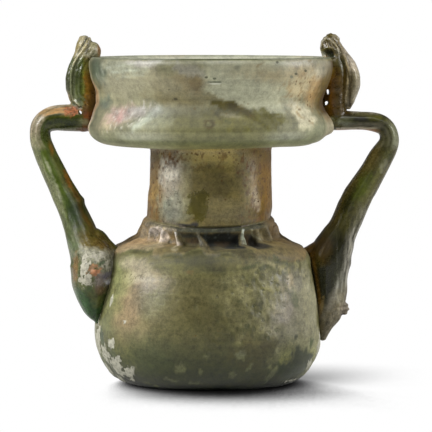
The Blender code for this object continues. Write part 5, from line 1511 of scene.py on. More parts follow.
    # the fold's raised edge is a pale painted highlight, paler near the top; the groove beside it and the furrow are
    # darkened as painted shade
    paint(s, s["welt"] * sstep(87.0, 90.5, z) * 0.85, (0.42, 0.38, 0.25), rough=0.24)
    paint(s, s["welt"] * (1 - sstep(87.0, 90.5, z)) * 0.6, (0.20, 0.205, 0.125), rough=0.24)
    paint(s, s["welt"] * (1 - sstep(79.5, 82.0, z)) * 0.5, (0.24, 0.20, 0.12), rough=0.24)
    paint(s, s["crease"] * 0.75, (0.045, 0.048, 0.022))
    paint(s, s["furrow"] * 0.6, (0.07, 0.06, 0.03))
    # pad: green tip, pale flaking skin, a rust and a violet stain
    pad = 1 - sstep(36.5, 39.5, z)
    paint(s, pad * 0.7, (0.075, 0.082, 0.038))
    tip = pad * (1 - sstep(25.6, 28.6, z + 1.2 * n2))
    paint(s, tip * 0.92, (0.026, 0.058, 0.019), rough=0.22)
    paint(s, tip * sstep(0.2, 0.7, n2) * 0.4, (0.050, 0.092, 0.045))
    paint(s, pad * flat_blob(s, -30.6, 25.2, 1.9, 2.6, 0, 0.6, 0.5) * 0.8, (0.085, 0.088, 0.024))
    paint(s, pad * flat_blob(s, -28.3, 24.5, 1.4, 5.0, 0, 0.6, 0.4) * 0.7, (0.028, 0.036, 0.006))
    paint(s, flat_blob(s, -36.4, 33.0, 0.9, 3.9, 0, 0.4, 0.5) * 0.9, (0.135, 0.086, 0.034))
    paint(s, flat_blob(s, -37.2, 24.6, 1.5, 2.6, -14, 0.5, 0.5) * 0.6, (0.075, 0.105, 0.062))
    dust = np.maximum(flat_blob(s, -31.0, 36.8, 4.7, 1.8, -6, 0.5, 0.4, face=-1), flat_blob(s, -27.4, 33.8, 2.4, 2.8, 0, 0.5, 0.5, face=-1))
    paint(s, dust * 0.8, (0.275, 0.265, 0.195), rough=0.6, grain=1.3)
    s["pitted"] = np.maximum(s["pitted"], 0.8 * dust)
    white = flat_blob(s, -33.2, 32.1, 2.0, 4.9, 2, 0.3, 0.5, face=-1)
    s["crust"] = np.maximum(s["crust"], 0.80 * white)
    s["crust"] = np.maximum(s["crust"], 0.55 * dust)
    s["pitted"] = np.maximum(s["pitted"], 0.5 * white)
    back = sstep(0.0, 1.5, p[:, 1] - s["mid"])
    s["crust"] = np.maximum(s["crust"], back * pad * 0.75 * sstep(0.1, 0.6, fbm(p, 8.0, 4, 431)))
    paint(s, flat_blob(s, -28.6, 29.9, 2.2, 2.2, 0, 0.5, 0.5, face=-1) * 0.9, (0.145, 0.120, 0.108), crust=0.0)
    paint(s, flat_blob(s, -27.8, 31.3, 1.5, 0.9, 20, 0.5, 0.5, face=-1) * 0.8, (0.10, 0.090, 0.120), crust=0.0)
    paint(s, flat_blob(s, -27.5, 29.4, 0.8, 0.7, 0, 0.5, 0.5, face=-1) * 0.85, (0.36, 0.36, 0.38), crust=0.0)
    paint(s, flat_blob(s, -29.6, 27.2, 1.5, 1.2, 0, 0.6, 0.5, face=-1) * 0.8, (0.115, 0.072, 0.040), crust=0.0)
    for x0, z0, a, c, soft, f in (
        (-36.8, 47.5, 3.0, 5.4, 0.8, (0.36, 0.44, 0.20)), (-36.5, 20.5, 6.0, 4.0, 0.6, (0.72, 1.0, 0.62)),
        (-46.6, 71.5, 3.2, 4.6, 0.6, (0.74, 0.74, 0.74)), (-40.0, 73.2, 5.0, 1.4, 0.5, (0.42, 0.48, 0.16)),
        (-38.2, 85.0, 1.8, 7.0, 0.5, (0.84, 0.88, 0.78)), (-39.4, 85.0, 0.9, 6.0, 0.6, (0.54, 0.54, 0.54)),
        (-35.5, 85.0, 0.9, 6.0, 0.5, (0.58, 0.62, 0.60)), (-37.0, 50.0, 2.4, 4.0, 0.8, (0.80, 0.82, 0.55)),
        (-34.4, 95.0, 3.0, 2.6, 0.5, (0.82, 0.80, 0.70)), (-33.6, 84.5, 1.6, 5.0, 0.5, (1.60, 1.45, 0.9)),
    ):
        s["tone"] *= 1 + flat_blob(s, x0, z0, a, c, 0, soft, 0.3)[:, None] * (np.array(f) - 1)
    paint(s, flat_blob(s, -31.0, 32.6, 1.3, 1.3, 0, 0.4, 0.9, face=-1) * 0.95, (0.30, 0.140, 0.072), rough=0.8, clear=0.0, crust=0.0)
    paint(s, flat_blob(s, -31.4, 33.6, 1.0, 0.4, 10, 0.4, 0.5, face=-1) * 0.8, (0.15, 0.09, 0.045), crust=0.0)
    # a small painted highlight on the rust spot
    paint(s, flat_blob(s, -31.7, 32.9, 0.35, 0.5, 0, 0.5, 0.5, face=-1) * 0.3, (0.42, 0.30, 0.21), crust=0.0)
    paint(s, flat_blob(s, -29.1, 34.7, 0.9, 0.5, 28, 0.4, 0.5, face=-1) * 0.9, (0.055, 0.085, 0.040), crust=0.0)
    fleck = sstep(0.50, 0.72, value_noise(np.stack([x / 0.36, p[:, 1] / 0.36, z / 0.36], 1), 437))
    paint(s, np.maximum(white, dust) * fleck * 0.7, (0.075, 0.078, 0.046), crust=0.0)


def right_shape(p, n, s):
    d = trail_relief(p, s["along"], 501)
    c, g, welt = fold(p, n, RIGHT_CREASE, 0.22, 0.40, 1)
    s["crease"], s["welt"] = g, welt
    d += c
    e, side, _ = line_distance(p[:, 0], p[:, 2], RIGHT_CREASE)
    s["from_fold"] = e * side
    # the hollow left open under the fold
    a, b = p[:, 0] - 34.5, p[:, 2] - 92.2
    k = math.radians(-14.0)
    e = np.hypot((a * math.cos(k) + b * math.sin(k)) / 2.1, (-a * math.sin(k) + b * math.cos(k)) / 1.35)
    eye = (1 - sstep(0.5, 1.15, e)) * sstep(0.1, 0.5, np.abs(n[:, 1]))
    s["eye"] = eye
    d -= 0.9 * eye
    s["brow"] = np.exp(-(((e - 1.25) / 0.22) ** 2)) * sstep(0.1, 0.5, np.abs(n[:, 1])) * sstep(-0.4, 0.8, b)
    d += 0.16 * s["brow"]
    # pleats across the crown, following the fold
    crown = sstep(91.0, 94.0, p[:, 2])
    s["pleat"] = np.sin((p[:, 0] + 0.42 * p[:, 2]) * 5.4)
    d += 0.07 * crown * s["pleat"]
    # deep drawn lines down the outside of the pad
    low = 1 - sstep(44.0, 56.0, p[:, 2])
    lines = value_noise(np.stack([p[:, 0] / 0.9, p[:, 1] / 1.1, p[:, 2] / 30.0], 1), 511)
    d -= 0.28 * low * sstep(0.1, 0.7, lines) * sstep(34.5, 36.5, p[:, 0])
    # tool marks across the knob
    e = np.hypot(p[:, 0] - 39.2, p[:, 2] - 20.2)
    d += 0.22 * np.sin(p[:, 2] * 4.4) * np.exp(-((e / 1.9) ** 2))
    return d


def right_colour(s):
    p, along, u = s["p"], s["along"], s["across"]
    x, z = p[:, 0], p[:, 2]
    n1, n2 = fbm(p, 7.0, 4, 521), fbm(p, 2.2, 3, 523)
    streak = value_noise(np.stack([along[:, 0] / 0.5, along[:, 1] / 0.6, along[:, 2] / 14.0], 1), 525)
    wide = value_noise(np.stack([along[:, 0] / 1.8, along[:, 1] / 1.8, along[:, 2] / 12.0], 1), 526)
    s["tone"] += np.array((0.052, 0.048, 0.010)) - s["tone"]
    s["rough"][:] = 0.27
    s["clear"][:] = 0.15
    s["grain"][:] = 0.5
    paint(s, sstep(0.0, 0.9, n1) * 0.4, (0.070, 0.058, 0.014))
    paint(s, sstep(0.1, 0.9, wide) * 0.45, (0.034, 0.034, 0.006))
    up = sstep(40.0, 46.0, z) * (1 - sstep(66.0, 70.0, z))
    paint(s, up * (1 - sstep(-0.75, -0.35, u + 0.2 * wide)) * 0.75, (0.085, 0.062, 0.014))
    paint(s, up * sstep(0.0, 0.30, u + 0.2 * wide) * (1 - sstep(0.45, 0.8, u)) * sstep(48.0, 54.0, z) * 0.7, (0.092, 0.092, 0.024))
    paint(s, up * sstep(0.6, 0.9, u) * 0.55, (0.065, 0.058, 0.030))
    paint(s, up * sstep(0.15, 0.6, streak) * sstep(-0.1, 0.3, u) * 0.45, (0.13, 0.125, 0.06))
    paint(s, flat_blob(s, 43.6, 55.4, 1.7, 4.4, -28, 0.6, 0.4) * 0.85, (0.060, 0.074, 0.008))
    paint(s, flat_blob(s, 39.3, 50.6, 1.4, 3.4, -24, 0.6, 0.5) * 0.8, (0.024, 0.024, 0.004))
    paint(s, flat_blob(s, 49.6, 61.0, 0.8, 1.9, -25, 0.6, 0.6) * 0.45, (0.21, 0.205, 0.15), rough=0.45)
    paint(s, flat_blob(s, 51.4, 63.6, 0.8, 1.0, 0, 0.4, 0.5) * 0.8, (0.045, 0.05, 0.014))
    paint(s, flat_blob(s, 46.6, 62.6, 1.2, 3.0, -26, 0.6, 0.5) * 0.6, (0.105, 0.082, 0.022))
    # bend
    bend = sstep(65.0, 68.0, z) * sstep(45.5, 48.0, x)
    out = np.hypot(x - 46.6, z - 68.6)
    ring = np.sin(out * 4.6 + 0.7 * n1)
    paint(s, bend * 0.85, (0.120, 0.112, 0.062), rough=0.3)
    paint(s, bend * sstep(0.0, 0.9, ring) * 0.55, (0.165, 0.155, 0.095))
    paint(s, bend * sstep(0.3, 0.95, -ring) * 0.5, (0.075, 0.072, 0.028))
    paint(s, bend * sstep(5.0, 5.9, out) * (1 - sstep(71.0, 74.0, z)) * 0.8, (0.24, 0.245, 0.175))
    paint(s, bend * (1 - sstep(1.6, 2.6, out)) * 0.7, (0.095, 0.075, 0.024))
    # the level length: near-black above, greyer with a pinkish line below
    flat = sstep(70.5, 71.0, z) * (1 - sstep(77.0, 78.0, z)) * sstep(37.5, 38.6, x) * (1 - sstep(49.0, 51.0, x))
    paint(s, flat * 0.95, (0.034, 0.032, 0.008), rough=0.42)
    paint(s, flat * sstep(43.5, 46.0, x) * sstep(72.6, 73.8, z) * 0.6, (0.060, 0.062, 0.012))
    grey = flat * (1 - sstep(73.0, 73.7, z + 0.25 * n2)) * sstep(71.4, 71.9, z)
    paint(s, grey * 0.85, (0.088, 0.080, 0.050))
    paint(s, flat_blob(s, 38.9, 73.6, 2.4, 1.3, 4, 0.6, 0.4) * 0.8, (0.130, 0.140, 0.090))
    paint(s, flat_blob(s, 47.0, 74.6, 2.3, 0.9, -12, 0.6, 0.5) * 0.8, (0.185, 0.180, 0.020))
    hem = sstep(70.0, 70.4, z) * (1 - sstep(77.0, 78.0, z)) * sstep(35.8, 36.8, x) * (1 - sstep(47.0, 49.0, x))
    paint(s, hem * (1 - sstep(71.6, 72.1, z + 0.2 * n2)) * 0.9, (0.44, 0.39, 0.29), rough=0.3)
    paint(s, hem * (1 - sstep(71.05, 71.45, z)) * 0.9, (0.28, 0.125, 0.050))
    paint(s, flat * sstep(75.0, 75.5, z) * sstep(41.0, 43.0, x) * sstep(-0.1, 0.4, streak) * 0.6, (0.14, 0.13, 0.09))
    # strap: brown shading to orange where it meets the cup
    k = s["from_fold"]
    thumb = sstep(74.5, 76.0, z)
    leaf = thumb * sstep(0.1, 0.4, k) * sstep(37.4, 38.2, x)
    strap = thumb * (1 - leaf) * (1 - sstep(90.0, 93.0, z)) * (1 - sstep(40.2, 41.2, x))
    paint(s, strap * 0.97, (0.058, 0.031, 0.002), rough=0.3)
    paint(s, strap * sstep(0.0, 0.8, n1) * 0.35, (0.075, 0.042, 0.004))
    paint(s, strap * (1 - sstep(33.8, 36.4, x + 0.4 * n2)) * 0.85, (0.150, 0.072, 0.004))
    paint(s, strap * (1 - sstep(32.8, 34.2, x)) * 0.85, (0.23, 0.135, 0.030))
    paint(s, strap * sstep(0.1, 0.7, n2) * sstep(34.5, 35.5, x) * 0.5, (0.044, 0.028, 0.002))
    paint(s, strap * sstep(84.5, 89.0, z) * (1 - sstep(34.5, 36.5, x)) * 0.6, (0.18, 0.15, 0.08))
    paint(s, strap * sstep(37.0, 38.4, x) * 0.6, (0.042, 0.030, 0.005))
    paint(s, strap * sstep(88.0, 90.0, z) * sstep(33.5, 35.0, x) * 0.8, (0.055, 0.050, 0.018))
    paint(s, flat_blob(s, 33.4, 80.2, 0.9, 1.8, 4, 0.5, 0.5) * 0.8, (0.045, 0.018, 0.002))
    # leaf: silvery, darker down its middle, its outer edge a pale, pinkish painted highlight
    lines = value_noise(np.stack([k / 0.42, p[:, 1] / 1.4, z / 9.0], 1), 531)
    outer = x - np.interp(z, (77.0, 80.0, 83.4, 86.6, 89.8, 92.6), (40.4, 41.6, 42.8, 42.6, 41.3, 39.3))
    paint(s, leaf * 0.97, (0.082, 0.070, 0.036), rough=0.24)
    paint(s, leaf * sstep(-1.9, -0.7, outer) * 0.75, (0.185, 0.160, 0.110))
    paint(s, leaf * sstep(-0.8, 0.0, outer) * 0.6, (0.27, 0.245, 0.19))
    paint(s, leaf * sstep(0.15, 0.6, lines) * 0.4, (0.20, 0.185, 0.135))
    paint(s, leaf * sstep(0.2, 0.7, -lines) * 0.25, (0.065, 0.055, 0.030))
    paint(s, leaf * (1 - sstep(40.6, 41.2, x)) * (1 - sstep(86.5, 88.5, z)) * 0.6, (0.110, 0.090, 0.052))
    paint(s, leaf * sstep(86.0, 89.0, z) * 0.75, (0.33, 0.285, 0.225))
    crown = sstep(91.0, 93.0, z) * (1 - 0.9 * leaf)
    paint(s, crown * 0.92, (0.135, 0.110, 0.045), rough=0.28, clear=0.2)
    paint(s, crown * sstep(34.6, 36.6, x - 0.15 * (z - 93.0)) * 0.75, (0.27, 0.225, 0.15))
    paint(s, crown * sstep(95.6, 97.0, z) * 0.6, (0.33, 0.295, 0.215))
    paint(s, crown * sstep(0.1, 0.8, s["pleat"] + n2) * 0.5, (0.36, 0.31, 0.22))
    paint(s, crown * sstep(0.2, 0.9, -s["pleat"] + n2) * 0.55, (0.070, 0.055, 0.020))
    paint(s, s["brow"] * 0.7, (0.27, 0.275, 0.215))
    # a painted highlight where the cup's rim edge meets the strap; the eye below the fold painted near-black, painted
    # shade in its hollow
    paint(s, flat_blob(s, 32.4, 92.3, 0.5, 1.2, 0, 0.4, 0.4) * 0.8, (0.36, 0.36, 0.29))
    paint(s, s["eye"], (0.022, 0.026, 0.012), rough=0.25)
    paint(s, s["welt"] * 0.85, (0.20, 0.165, 0.095), rough=0.25)
    paint(s, s["welt"] * sstep(90.0, 94.0, z) * 0.7, (0.34, 0.29, 0.20), rough=0.25)
    # painted shade in the fold's groove
    paint(s, s["crease"] * 0.55, (0.085, 0.068, 0.034))
    # pad: near-black glass with grey lines, brown by the shoulder
    low = 1 - sstep(38.0, 46.0, z)
    lines = value_noise(np.stack([x / 0.55, p[:, 1] / 0.8, z / 22.0], 1), 541)
    paint(s, low * 0.95, (0.015, 0.0155, 0.007), rough=0.26)
    way = x - np.interp(z, (18.0, 24.5, 29.0, 33.0, 38.0, 44.0, 50.0), (32.0, 34.5, 36.6, 38.0, 38.6, 39.9, 41.6))
    grey = (1 - sstep(40.0, 52.0, z)) * sstep(-0.6, 0.8, way + 0.8 * lines)
    paint(s, grey * 0.7, (0.085, 0.080, 0.058), rough=0.3)
    paint(s, grey * sstep(-0.3, 0.3, lines) * sstep(0.0, 1.2, way) * 0.85, (0.225, 0.215, 0.175), rough=0.33)
    paint(s, flat_blob(s, 30.2, 38.0, 4.6, 5.4, -38, 0.5, 0.4) * 0.85, (0.044, 0.026, 0.003))
    paint(s, flat_blob(s, 28.6, 37.0, 1.6, 2.6, -30, 0.5, 0.5) * 0.7, (0.095, 0.050, 0.010))
    paint(s, flat_blob(s, 33.0, 41.0, 3.6, 5.0, -34, 0.6, 0.4) * 0.8, rough=0.5)
    e, _, _ = line_distance(x, z, ((29.4, 36.0), (30.7, 31.0), (31.5, 25.0), (32.1, 18.5)))
    paint(s, np.exp(-((e / 0.42) ** 2)) * 0.8, (0.165, 0.088, 0.014))
    tail = 1 - sstep(21.0, 26.0, z + 1.4 * n2 - 0.8 * (x - 35.0))
    paint(s, tail * 0.9, (0.128, 0.112, 0.070), rough=0.5, grain=1.2)
    paint(s, tail * sstep(0.0, 0.6, n2) * 0.5, (0.19, 0.17, 0.125))
    paint(s, tail * sstep(0.1, 0.6, -n2) * 0.5, (0.075, 0.058, 0.024))
    paint(s, flat_blob(s, 32.2, 21.4, 0.45, 2.6, -10, 0.5, 0.4) * 0.8, (0.19, 0.135, 0.05))
    paint(s, flat_blob(s, 39.4, 20.4, 1.6, 2.4, 0, 0.5, 0.5) * 0.7, (0.155, 0.13, 0.10))
    paint(s, flat_blob(s, 39.0, 18.4, 1.0, 0.8, 0, 0.5, 0.5) * 0.7, (0.06, 0.045, 0.03))
    for x0, z0, a, c, soft, f in (
        (43.5, 74.6, 6.5, 1.6, 0.4, (0.36, 0.35, 0.16)), (51.0, 70.5, 3.6, 4.6, 0.6, (0.58, 0.60, 0.50)),
        (37.0, 39.0, 2.6, 5.0, 0.6, (0.70, 0.70, 0.60)), (37.4, 28.5, 1.6, 7.0, 0.5, (1.25, 1.28, 1.3)),
        (34.4, 95.2, 3.0, 3.4, 0.4, (0.30, 0.26, 0.09)), (41.2, 84.5, 1.6, 6.0, 0.5, (1.2, 1.2, 1.15)),
        (35.4, 83.0, 1.6, 6.0, 0.5, (0.95, 0.84, 0.10)), (31.6, 34.6, 1.2, 2.4, 0.6, (1.5, 1.5, 0.8)),
    ):
        s["tone"] *= 1 + flat_blob(s, x0, z0, a, c, 0, soft, 0.3)[:, None] * (np.array(f) - 1)
    # long pale lines down over the fold, and a pale rim round the back of the crown
    for pts, half, tone in (
        (((34.2, 96.6), (36.0, 94.9), (37.3, 92.8)), 0.17, (0.36, 0.32, 0.21)),
        (((35.4, 97.0), (37.0, 95.4), (38.0, 93.6)), 0.15, (0.27, 0.23, 0.15)),
        (((33.4, 95.2), (35.0, 93.9), (36.1, 92.2)), 0.14, (0.17, 0.13, 0.05)),
        (((31.9, 92.0), (31.8, 94.0), (32.4, 95.8), (33.6, 97.0)), 0.22, (0.34, 0.32, 0.24)),
    ):
        e, _, _ = line_distance(x, z, pts)
        paint(s, np.exp(-((e / half) ** 2)) * 0.75, tone)
    paint(s, flat_blob(s, 37.4, 89.6, 0.9, 2.4, 14, 0.5, 0.3) * 0.8, (0.040, 0.036, 0.012))
    paint(s, flat_blob(s, 36.6, 80.5, 1.1, 5.5, 0, 0.7, 0.4) * 0.6, (0.034, 0.024, 0.001))
    s["tone"] *= 1 + (s["welt"] * sstep(78.0, 80.0, z) * (1 - sstep(89.0, 92.0, z)))[:, None] * 0.7


# -------------------------------------------------------------------- materials
class Nodes:
    """A few short words for building a node tree."""

    def __init__(self, mat):
        mat.use_nodes = True
        self.tree = mat.node_tree
        self.tree.nodes.clear()
        self.out = self.new("ShaderNodeOutputMaterial")
        self.bsdf = self.new("ShaderNodeBsdfPrincipled")
        self.link(self.bsdf.outputs[0], self.out.inputs[0])

    def new(self, kind, **props):
        node = self.tree.nodes.new(kind)
        for k, v in props.items():
            setattr(node, k, v)
        return node

    def link(self, a, b):
        self.tree.links.new(a, b)

    def put(self, socket, value):
        if hasattr(value, "is_output"):
            self.link(value, socket)
        elif isinstance(value, (tuple, list)) and len(value) == 3 and socket.type == "RGBA":
            socket.default_value = (*value, 1.0)
        else:
            socket.default_value = value

    def math(self, op, a, b=0.0, c=0.0, clamp=False):
        n = self.new("ShaderNodeMath", operation=op, use_clamp=clamp)
        for sock, v in zip(n.inputs, (a, b, c)):
            self.put(sock, v)
        return n.outputs[0]

    def mix(self, f, a, b):
        n = self.new("ShaderNodeMix", data_type="RGBA")
        self.put(n.inputs[0], f)
        self.put(n.inputs[6], a)
        self.put(n.inputs[7], b)
        return n.outputs[2]

    def scale(self, colour, f):
        n = self.new("ShaderNodeVectorMath", operation="SCALE")
        self.put(n.inputs[0], colour)
        self.put(n.inputs["Scale"], f)
        return n.outputs[0]

    def ramp(self, x, lo, hi, a=0.0, b=1.0):
        n = self.new("ShaderNodeMapRange", interpolation_type="SMOOTHSTEP")
        for sock, v in zip(n.inputs, (x, lo, hi, a, b)):
            self.put(sock, v)
        return n.outputs[0]

    def noise(self, vector, scale, detail=3.0, rough=0.5):
        n = self.new("ShaderNodeTexNoise")
        self.put(n.inputs["Vector"], vector)
        n.inputs["Scale"].default_value = scale
        n.inputs["Detail"].default_value = detail
        n.inputs["Roughness"].default_value = rough
        return n.outputs["Fac"]

    def cells(self, vector, scale):
        n = self.new("ShaderNodeTexVoronoi")
        self.put(n.inputs["Vector"], vector)
        n.inputs["Scale"].default_value = scale
        return n.outputs["Distance"]

    def stretched(self, vector, sx, sy, sz):
        n = self.new("ShaderNodeMapping")
        self.put(n.inputs["Vector"], vector)
        n.inputs["Scale"].default_value = (sx, sy, sz)
        return n.outputs[0]

    def attribute(self, name):
        n = self.new("ShaderNodeAttribute", attribute_name=name)
        s = self.new("ShaderNodeSeparateXYZ")
        self.link(n.outputs["Vector"], s.inputs[0])
        return n.outputs["Vector"], s.outputs


def on_wall(b, z):
    """The point of the plain cup, neck or body wall at a bearing and height, in metres."""
    rows = outer_lines()
    if z > 67.0:
        rows = rows[rows[:, 3] > 68.0]
    elif z > 47.0:
        rows = rows[(rows[:, 3] > 47.0) & (rows[:, 3] < 66.0) & (rows[:, 2] < 19.0)]
    else:
        rows = rows[rows[:, 3] < 37.0]
    r = float(np.interp(z, rows[:, 3], rows[:, 2]))
    a = math.radians(b) - math.pi / 2
    return ((float(axis_x(z)) + r * math.cos(a)) * MM, r * math.sin(a) * MM, z * MM)


def glass(name, soil_tone, crust_tone, lines, gloss, ior=1.5, strength=0.35, marks=()):
    """Old glass: the painted tone and wear, broken up by grain, specks, pits and crust."""
    mat = bpy.data.materials.new(name)
    g = Nodes(mat)
    where = g.new("ShaderNodeTexCoord").outputs["Object"]
    tone, _ = g.attribute("tone")
    _, (rough, clear, crust) = g.attribute("wear_a")
    _, (soil, pitted, grain) = g.attribute("wear_b")

    coarse = g.noise(where, 260.0, 3.0, 0.55)
    middle = g.noise(where, 900.0, 3.0, 0.6)
    fine = g.noise(where, 2600.0, 2.0, 0.6)
    if lines == "rings":
        drawn = g.noise(g.stretched(where, 28.0, 28.0, 900.0), 1.0, 2.0, 0.5)
    else:
        along, _ = g.attribute("along")
        drawn = g.noise(g.stretched(along, 1500.0, 1500.0, 45.0), 1.0, 3.0, 0.6)

    # film: broken tone
    a = g.math("MULTIPLY", g.math("SUBTRACT", coarse, 0.5), 1.1)
    b = g.math("MULTIPLY", g.math("SUBTRACT", middle, 0.5), 2.0)
    c = g.math("MULTIPLY", g.math("SUBTRACT", fine, 0.5), 1.5)
    d = g.math("MULTIPLY", g.math("SUBTRACT", drawn, 0.5), 0.5 if lines == "rings" else 1.3)
    broken = g.math("ADD", g.math("ADD", a, d), g.math("MULTIPLY", g.math("ADD", b, c), grain))
    shown = g.scale(tone, g.math("MAXIMUM", g.math("ADD", 1.0, broken), 0.25))

    # soil: specks that crowd together where the field is high
    dots = g.cells(where, 620.0)
    patch = g.math("ADD", soil, g.math("MULTIPLY", g.math("SUBTRACT", middle, 0.5), 0.9))
    stain = g.ramp(patch, 0.42, 0.78)
    speck = g.math("MULTIPLY", g.ramp(dots, 0.34, 0.14), g.ramp(g.math("ADD", soil, g.math("SUBTRACT", coarse, 0.5)), 0.30, 0.55))
    dirt = g.math("MAXIMUM", g.math("MULTIPLY", stain, 0.55), g.math("MULTIPLY", speck, 0.85))
    shown = g.mix(dirt, shown, g.mix(coarse, soil_tone, tuple(0.55 * v for v in soil_tone)))

    # pits
    holes = g.cells(where, 430.0)
    pit = g.math("MULTIPLY", g.ramp(g.math("ADD", holes, g.math("MULTIPLY", g.math("SUBTRACT", middle, 0.5), 0.5)), 0.34, 0.16), pitted)
    shown = g.mix(g.math("MULTIPLY", pit, 0.75), shown, (0.055, 0.058, 0.02))

    # crust: pale, matt, crisp-edged
    edge = g.math("ADD", crust, g.math("ADD", g.math("MULTIPLY", g.math("SUBTRACT", coarse, 0.5), 0.5),
                                     g.math("MULTIPLY", g.math("SUBTRACT", middle, 0.5), 0.45)))
    flake = g.ramp(edge, 0.46, 0.56)
    pale = g.mix(g.ramp(middle, 0.35, 0.7), crust_tone, tuple(0.62 * v for v in crust_tone))
    shown = g.mix(g.math("MULTIPLY", flake, 0.85), shown, pale)

    # single specks and scratches: bearing, height, half width, half height, tone, strength
    wobble = g.math("MULTIPLY", g.math("SUBTRACT", middle, 0.5), 1.1)
    for b0, z0, wide, tall, ink, k in marks:
        away = g.new("ShaderNodeVectorMath", operation="SUBTRACT")
        g.put(away.inputs[0], where)
        away.inputs[1].default_value = on_wall(b0, z0)
        even = g.new("ShaderNodeVectorMath", operation="MULTIPLY")
        g.put(even.inputs[0], away.outputs[0])
        even.inputs[1].default_value = (1000.0 / wide, 1000.0 / (wide + 0.6), 1000.0 / tall)
        size = g.new("ShaderNodeVectorMath", operation="LENGTH")
        g.put(size.inputs[0], even.outputs[0])
        shown = g.mix(g.ramp(g.math("ADD", size.outputs["Value"], wobble), 1.25, 0.65, 0.0, k), shown, ink)

    g.link(shown, g.bsdf.inputs["Base Color"])
    matt = g.math("MAXIMUM", flake, g.math("MULTIPLY", dirt, 0.7))
    r = g.math("ADD", rough, g.math("MULTIPLY", g.math("SUBTRACT", middle, 0.5), 0.25))
    r = g.math("ADD", r, g.math("MULTIPLY", g.math("SUBTRACT", 0.72, r), matt), clamp=True)
    g.link(r, g.bsdf.inputs["Roughness"])
    t = g.math("MULTIPLY", clear, g.math("SUBTRACT", 1.0, matt), clamp=True)
    g.link(t, g.bsdf.inputs["Transmission Weight"])
    g.bsdf.inputs["IOR"].default_value = ior
    g.bsdf.inputs["Specular IOR Level"].default_value = gloss

    height = g.math("ADD", g.math("MULTIPLY", fine, 0.30), g.math("MULTIPLY", middle, 0.55))
    height = g.math("MULTIPLY", height, g.math("ADD", grain, 0.15))
    height = g.math("ADD", height, g.math("MULTIPLY", drawn, 0.35))
    height = g.math("ADD", height, g.math("MULTIPLY", flake, 0.8))
    height = g.math("SUBTRACT", height, g.math("MULTIPLY", pit, 1.1))
    height = g.math("SUBTRACT", height, g.math("MULTIPLY", speck, 0.3))
    bump = g.new("ShaderNodeBump")
    bump.inputs["Strength"].default_value = strength
    bump.inputs["Distance"].default_value = 0.00025
    g.link(height, bump.inputs["Height"])
    g.link(bump.outputs[0], g.bsdf.inputs["Normal"])
    return mat


# ------------------------------------------------------------------------ build
def place(mesh, mat, node):
    ob = bpy.data.objects.new(mesh.name, mesh)
    bpy.context.scene.collection.objects.link(ob)
    mesh.materials.clear()
    mesh.materials.append(mat)
    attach(ob, "root")
    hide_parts(node)
    return ob


vessel_lo, vessel_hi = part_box("vessel")

vessel, outside = make_vessel()
MARKS = (
    # a small dimple drawn in paint: painted shade along its top, a painted highlight below
    (1.8, 85.22, 1.75, 0.30, (0.085, 0.100, 0.060), 0.85),
    (1.8, 84.72, 1.50, 0.16, (0.640, 0.640, 0.540), 0.75),
    (-17.6, 80.5, 0.55, 0.42, (0.045, 0.038, 0.016), 0.90),
    (-8.0, 77.9, 0.45, 0.35, (0.090, 0.070, 0.025), 0.80),
    (-2.1, 86.5, 0.55, 0.36, (0.045, 0.045, 0.020), 0.90),
    (1.7, 86.1, 0.50, 0.30, (0.060, 0.065, 0.035), 0.85),
    (31.9, 90.5, 0.42, 0.34, (0.040, 0.042, 0.018), 0.90),
    (49.2, 88.0, 0.45, 0.40, (0.040, 0.036, 0.014), 0.90),
    (42.8, 87.2, 0.42, 0.36, (0.040, 0.036, 0.014), 0.90),
    (40.2, 86.5, 0.50, 0.34, (0.110, 0.120, 0.080), 0.80),
    (-20.3, 83.1, 0.32, 0.28, (0.100, 0.090, 0.045), 0.70),
    (44.0, 84.4, 0.30, 0.30, (0.100, 0.070, 0.030), 0.70),
    (53.5, 74.2, 0.45, 0.30, (0.120, 0.085, 0.030), 0.80),
    (49.8, 77.4, 0.40, 0.30, (0.140, 0.090, 0.030), 0.75),
)
NECK_SPECKS = (  # bearing, height, half width
    (-33.1, 65.5, 0.42), (-38.2, 63.5, 0.50), (-33.1, 62.9, 0.42), (-41.4, 64.1, 0.38), (-12.8, 64.8, 0.36),
    (8.1, 65.2, 0.33), (17.3, 65.4, 0.36), (25.9, 59.7, 0.42), (34.3, 56.1, 0.45), (26.7, 62.2, 0.30),
    (57.6, 57.8, 0.40), (53.9, 59.3, 0.34), (37.7, 61.4, 0.30), (-54.9, 54.5, 0.30), (-61.2, 57.8, 0.42),
    (-69.0, 56.5, 0.36), (13.8, 52.4, 0.30), (10.3, 57.6, 0.28), (-54.9, 48.4, 0.30), (50.7, 51.5, 0.34),
    (44.4, 62.7, 0.36), (55.0, 64.2, 0.36),
)
MARKS += tuple((b0, z0, half, 0.85 * half, (0.085, 0.034, 0.004), 0.85) for b0, z0, half in NECK_SPECKS)
weathered = glass("weathered_glass", (0.15, 0.080, 0.020), (0.36, 0.355, 0.29), "rings", 0.36, marks=MARKS)
green = glass("green_glass", (0.20, 0.085, 0.025), (0.36, 0.345, 0.28), "along", 0.20)
place(vessel, weathered, "vessel")

# the vessel's outside, filled, for seating the handles on
rings, cols = outside.shape[0], outside.shape[1]
faces = [tuple(q) for q in grid_quads(0, rings, cols).tolist()]
cap = len(outside.reshape(-1, 3))
verts = np.concatenate([outside.reshape(-1, 3), [[axis_x(0.0), 0, 0], [axis_x(RIM_Z), 0, RIM_Z]]])
faces += [((i + 1) % cols, i, cap) for i in range(cols)]
top = (rings - 1) * cols
faces += [(top + i, top + (i + 1) % cols, cap + 1) for i in range(cols)]
tree = BVHTree.FromPolygons([Vector(v) for v in verts], faces)

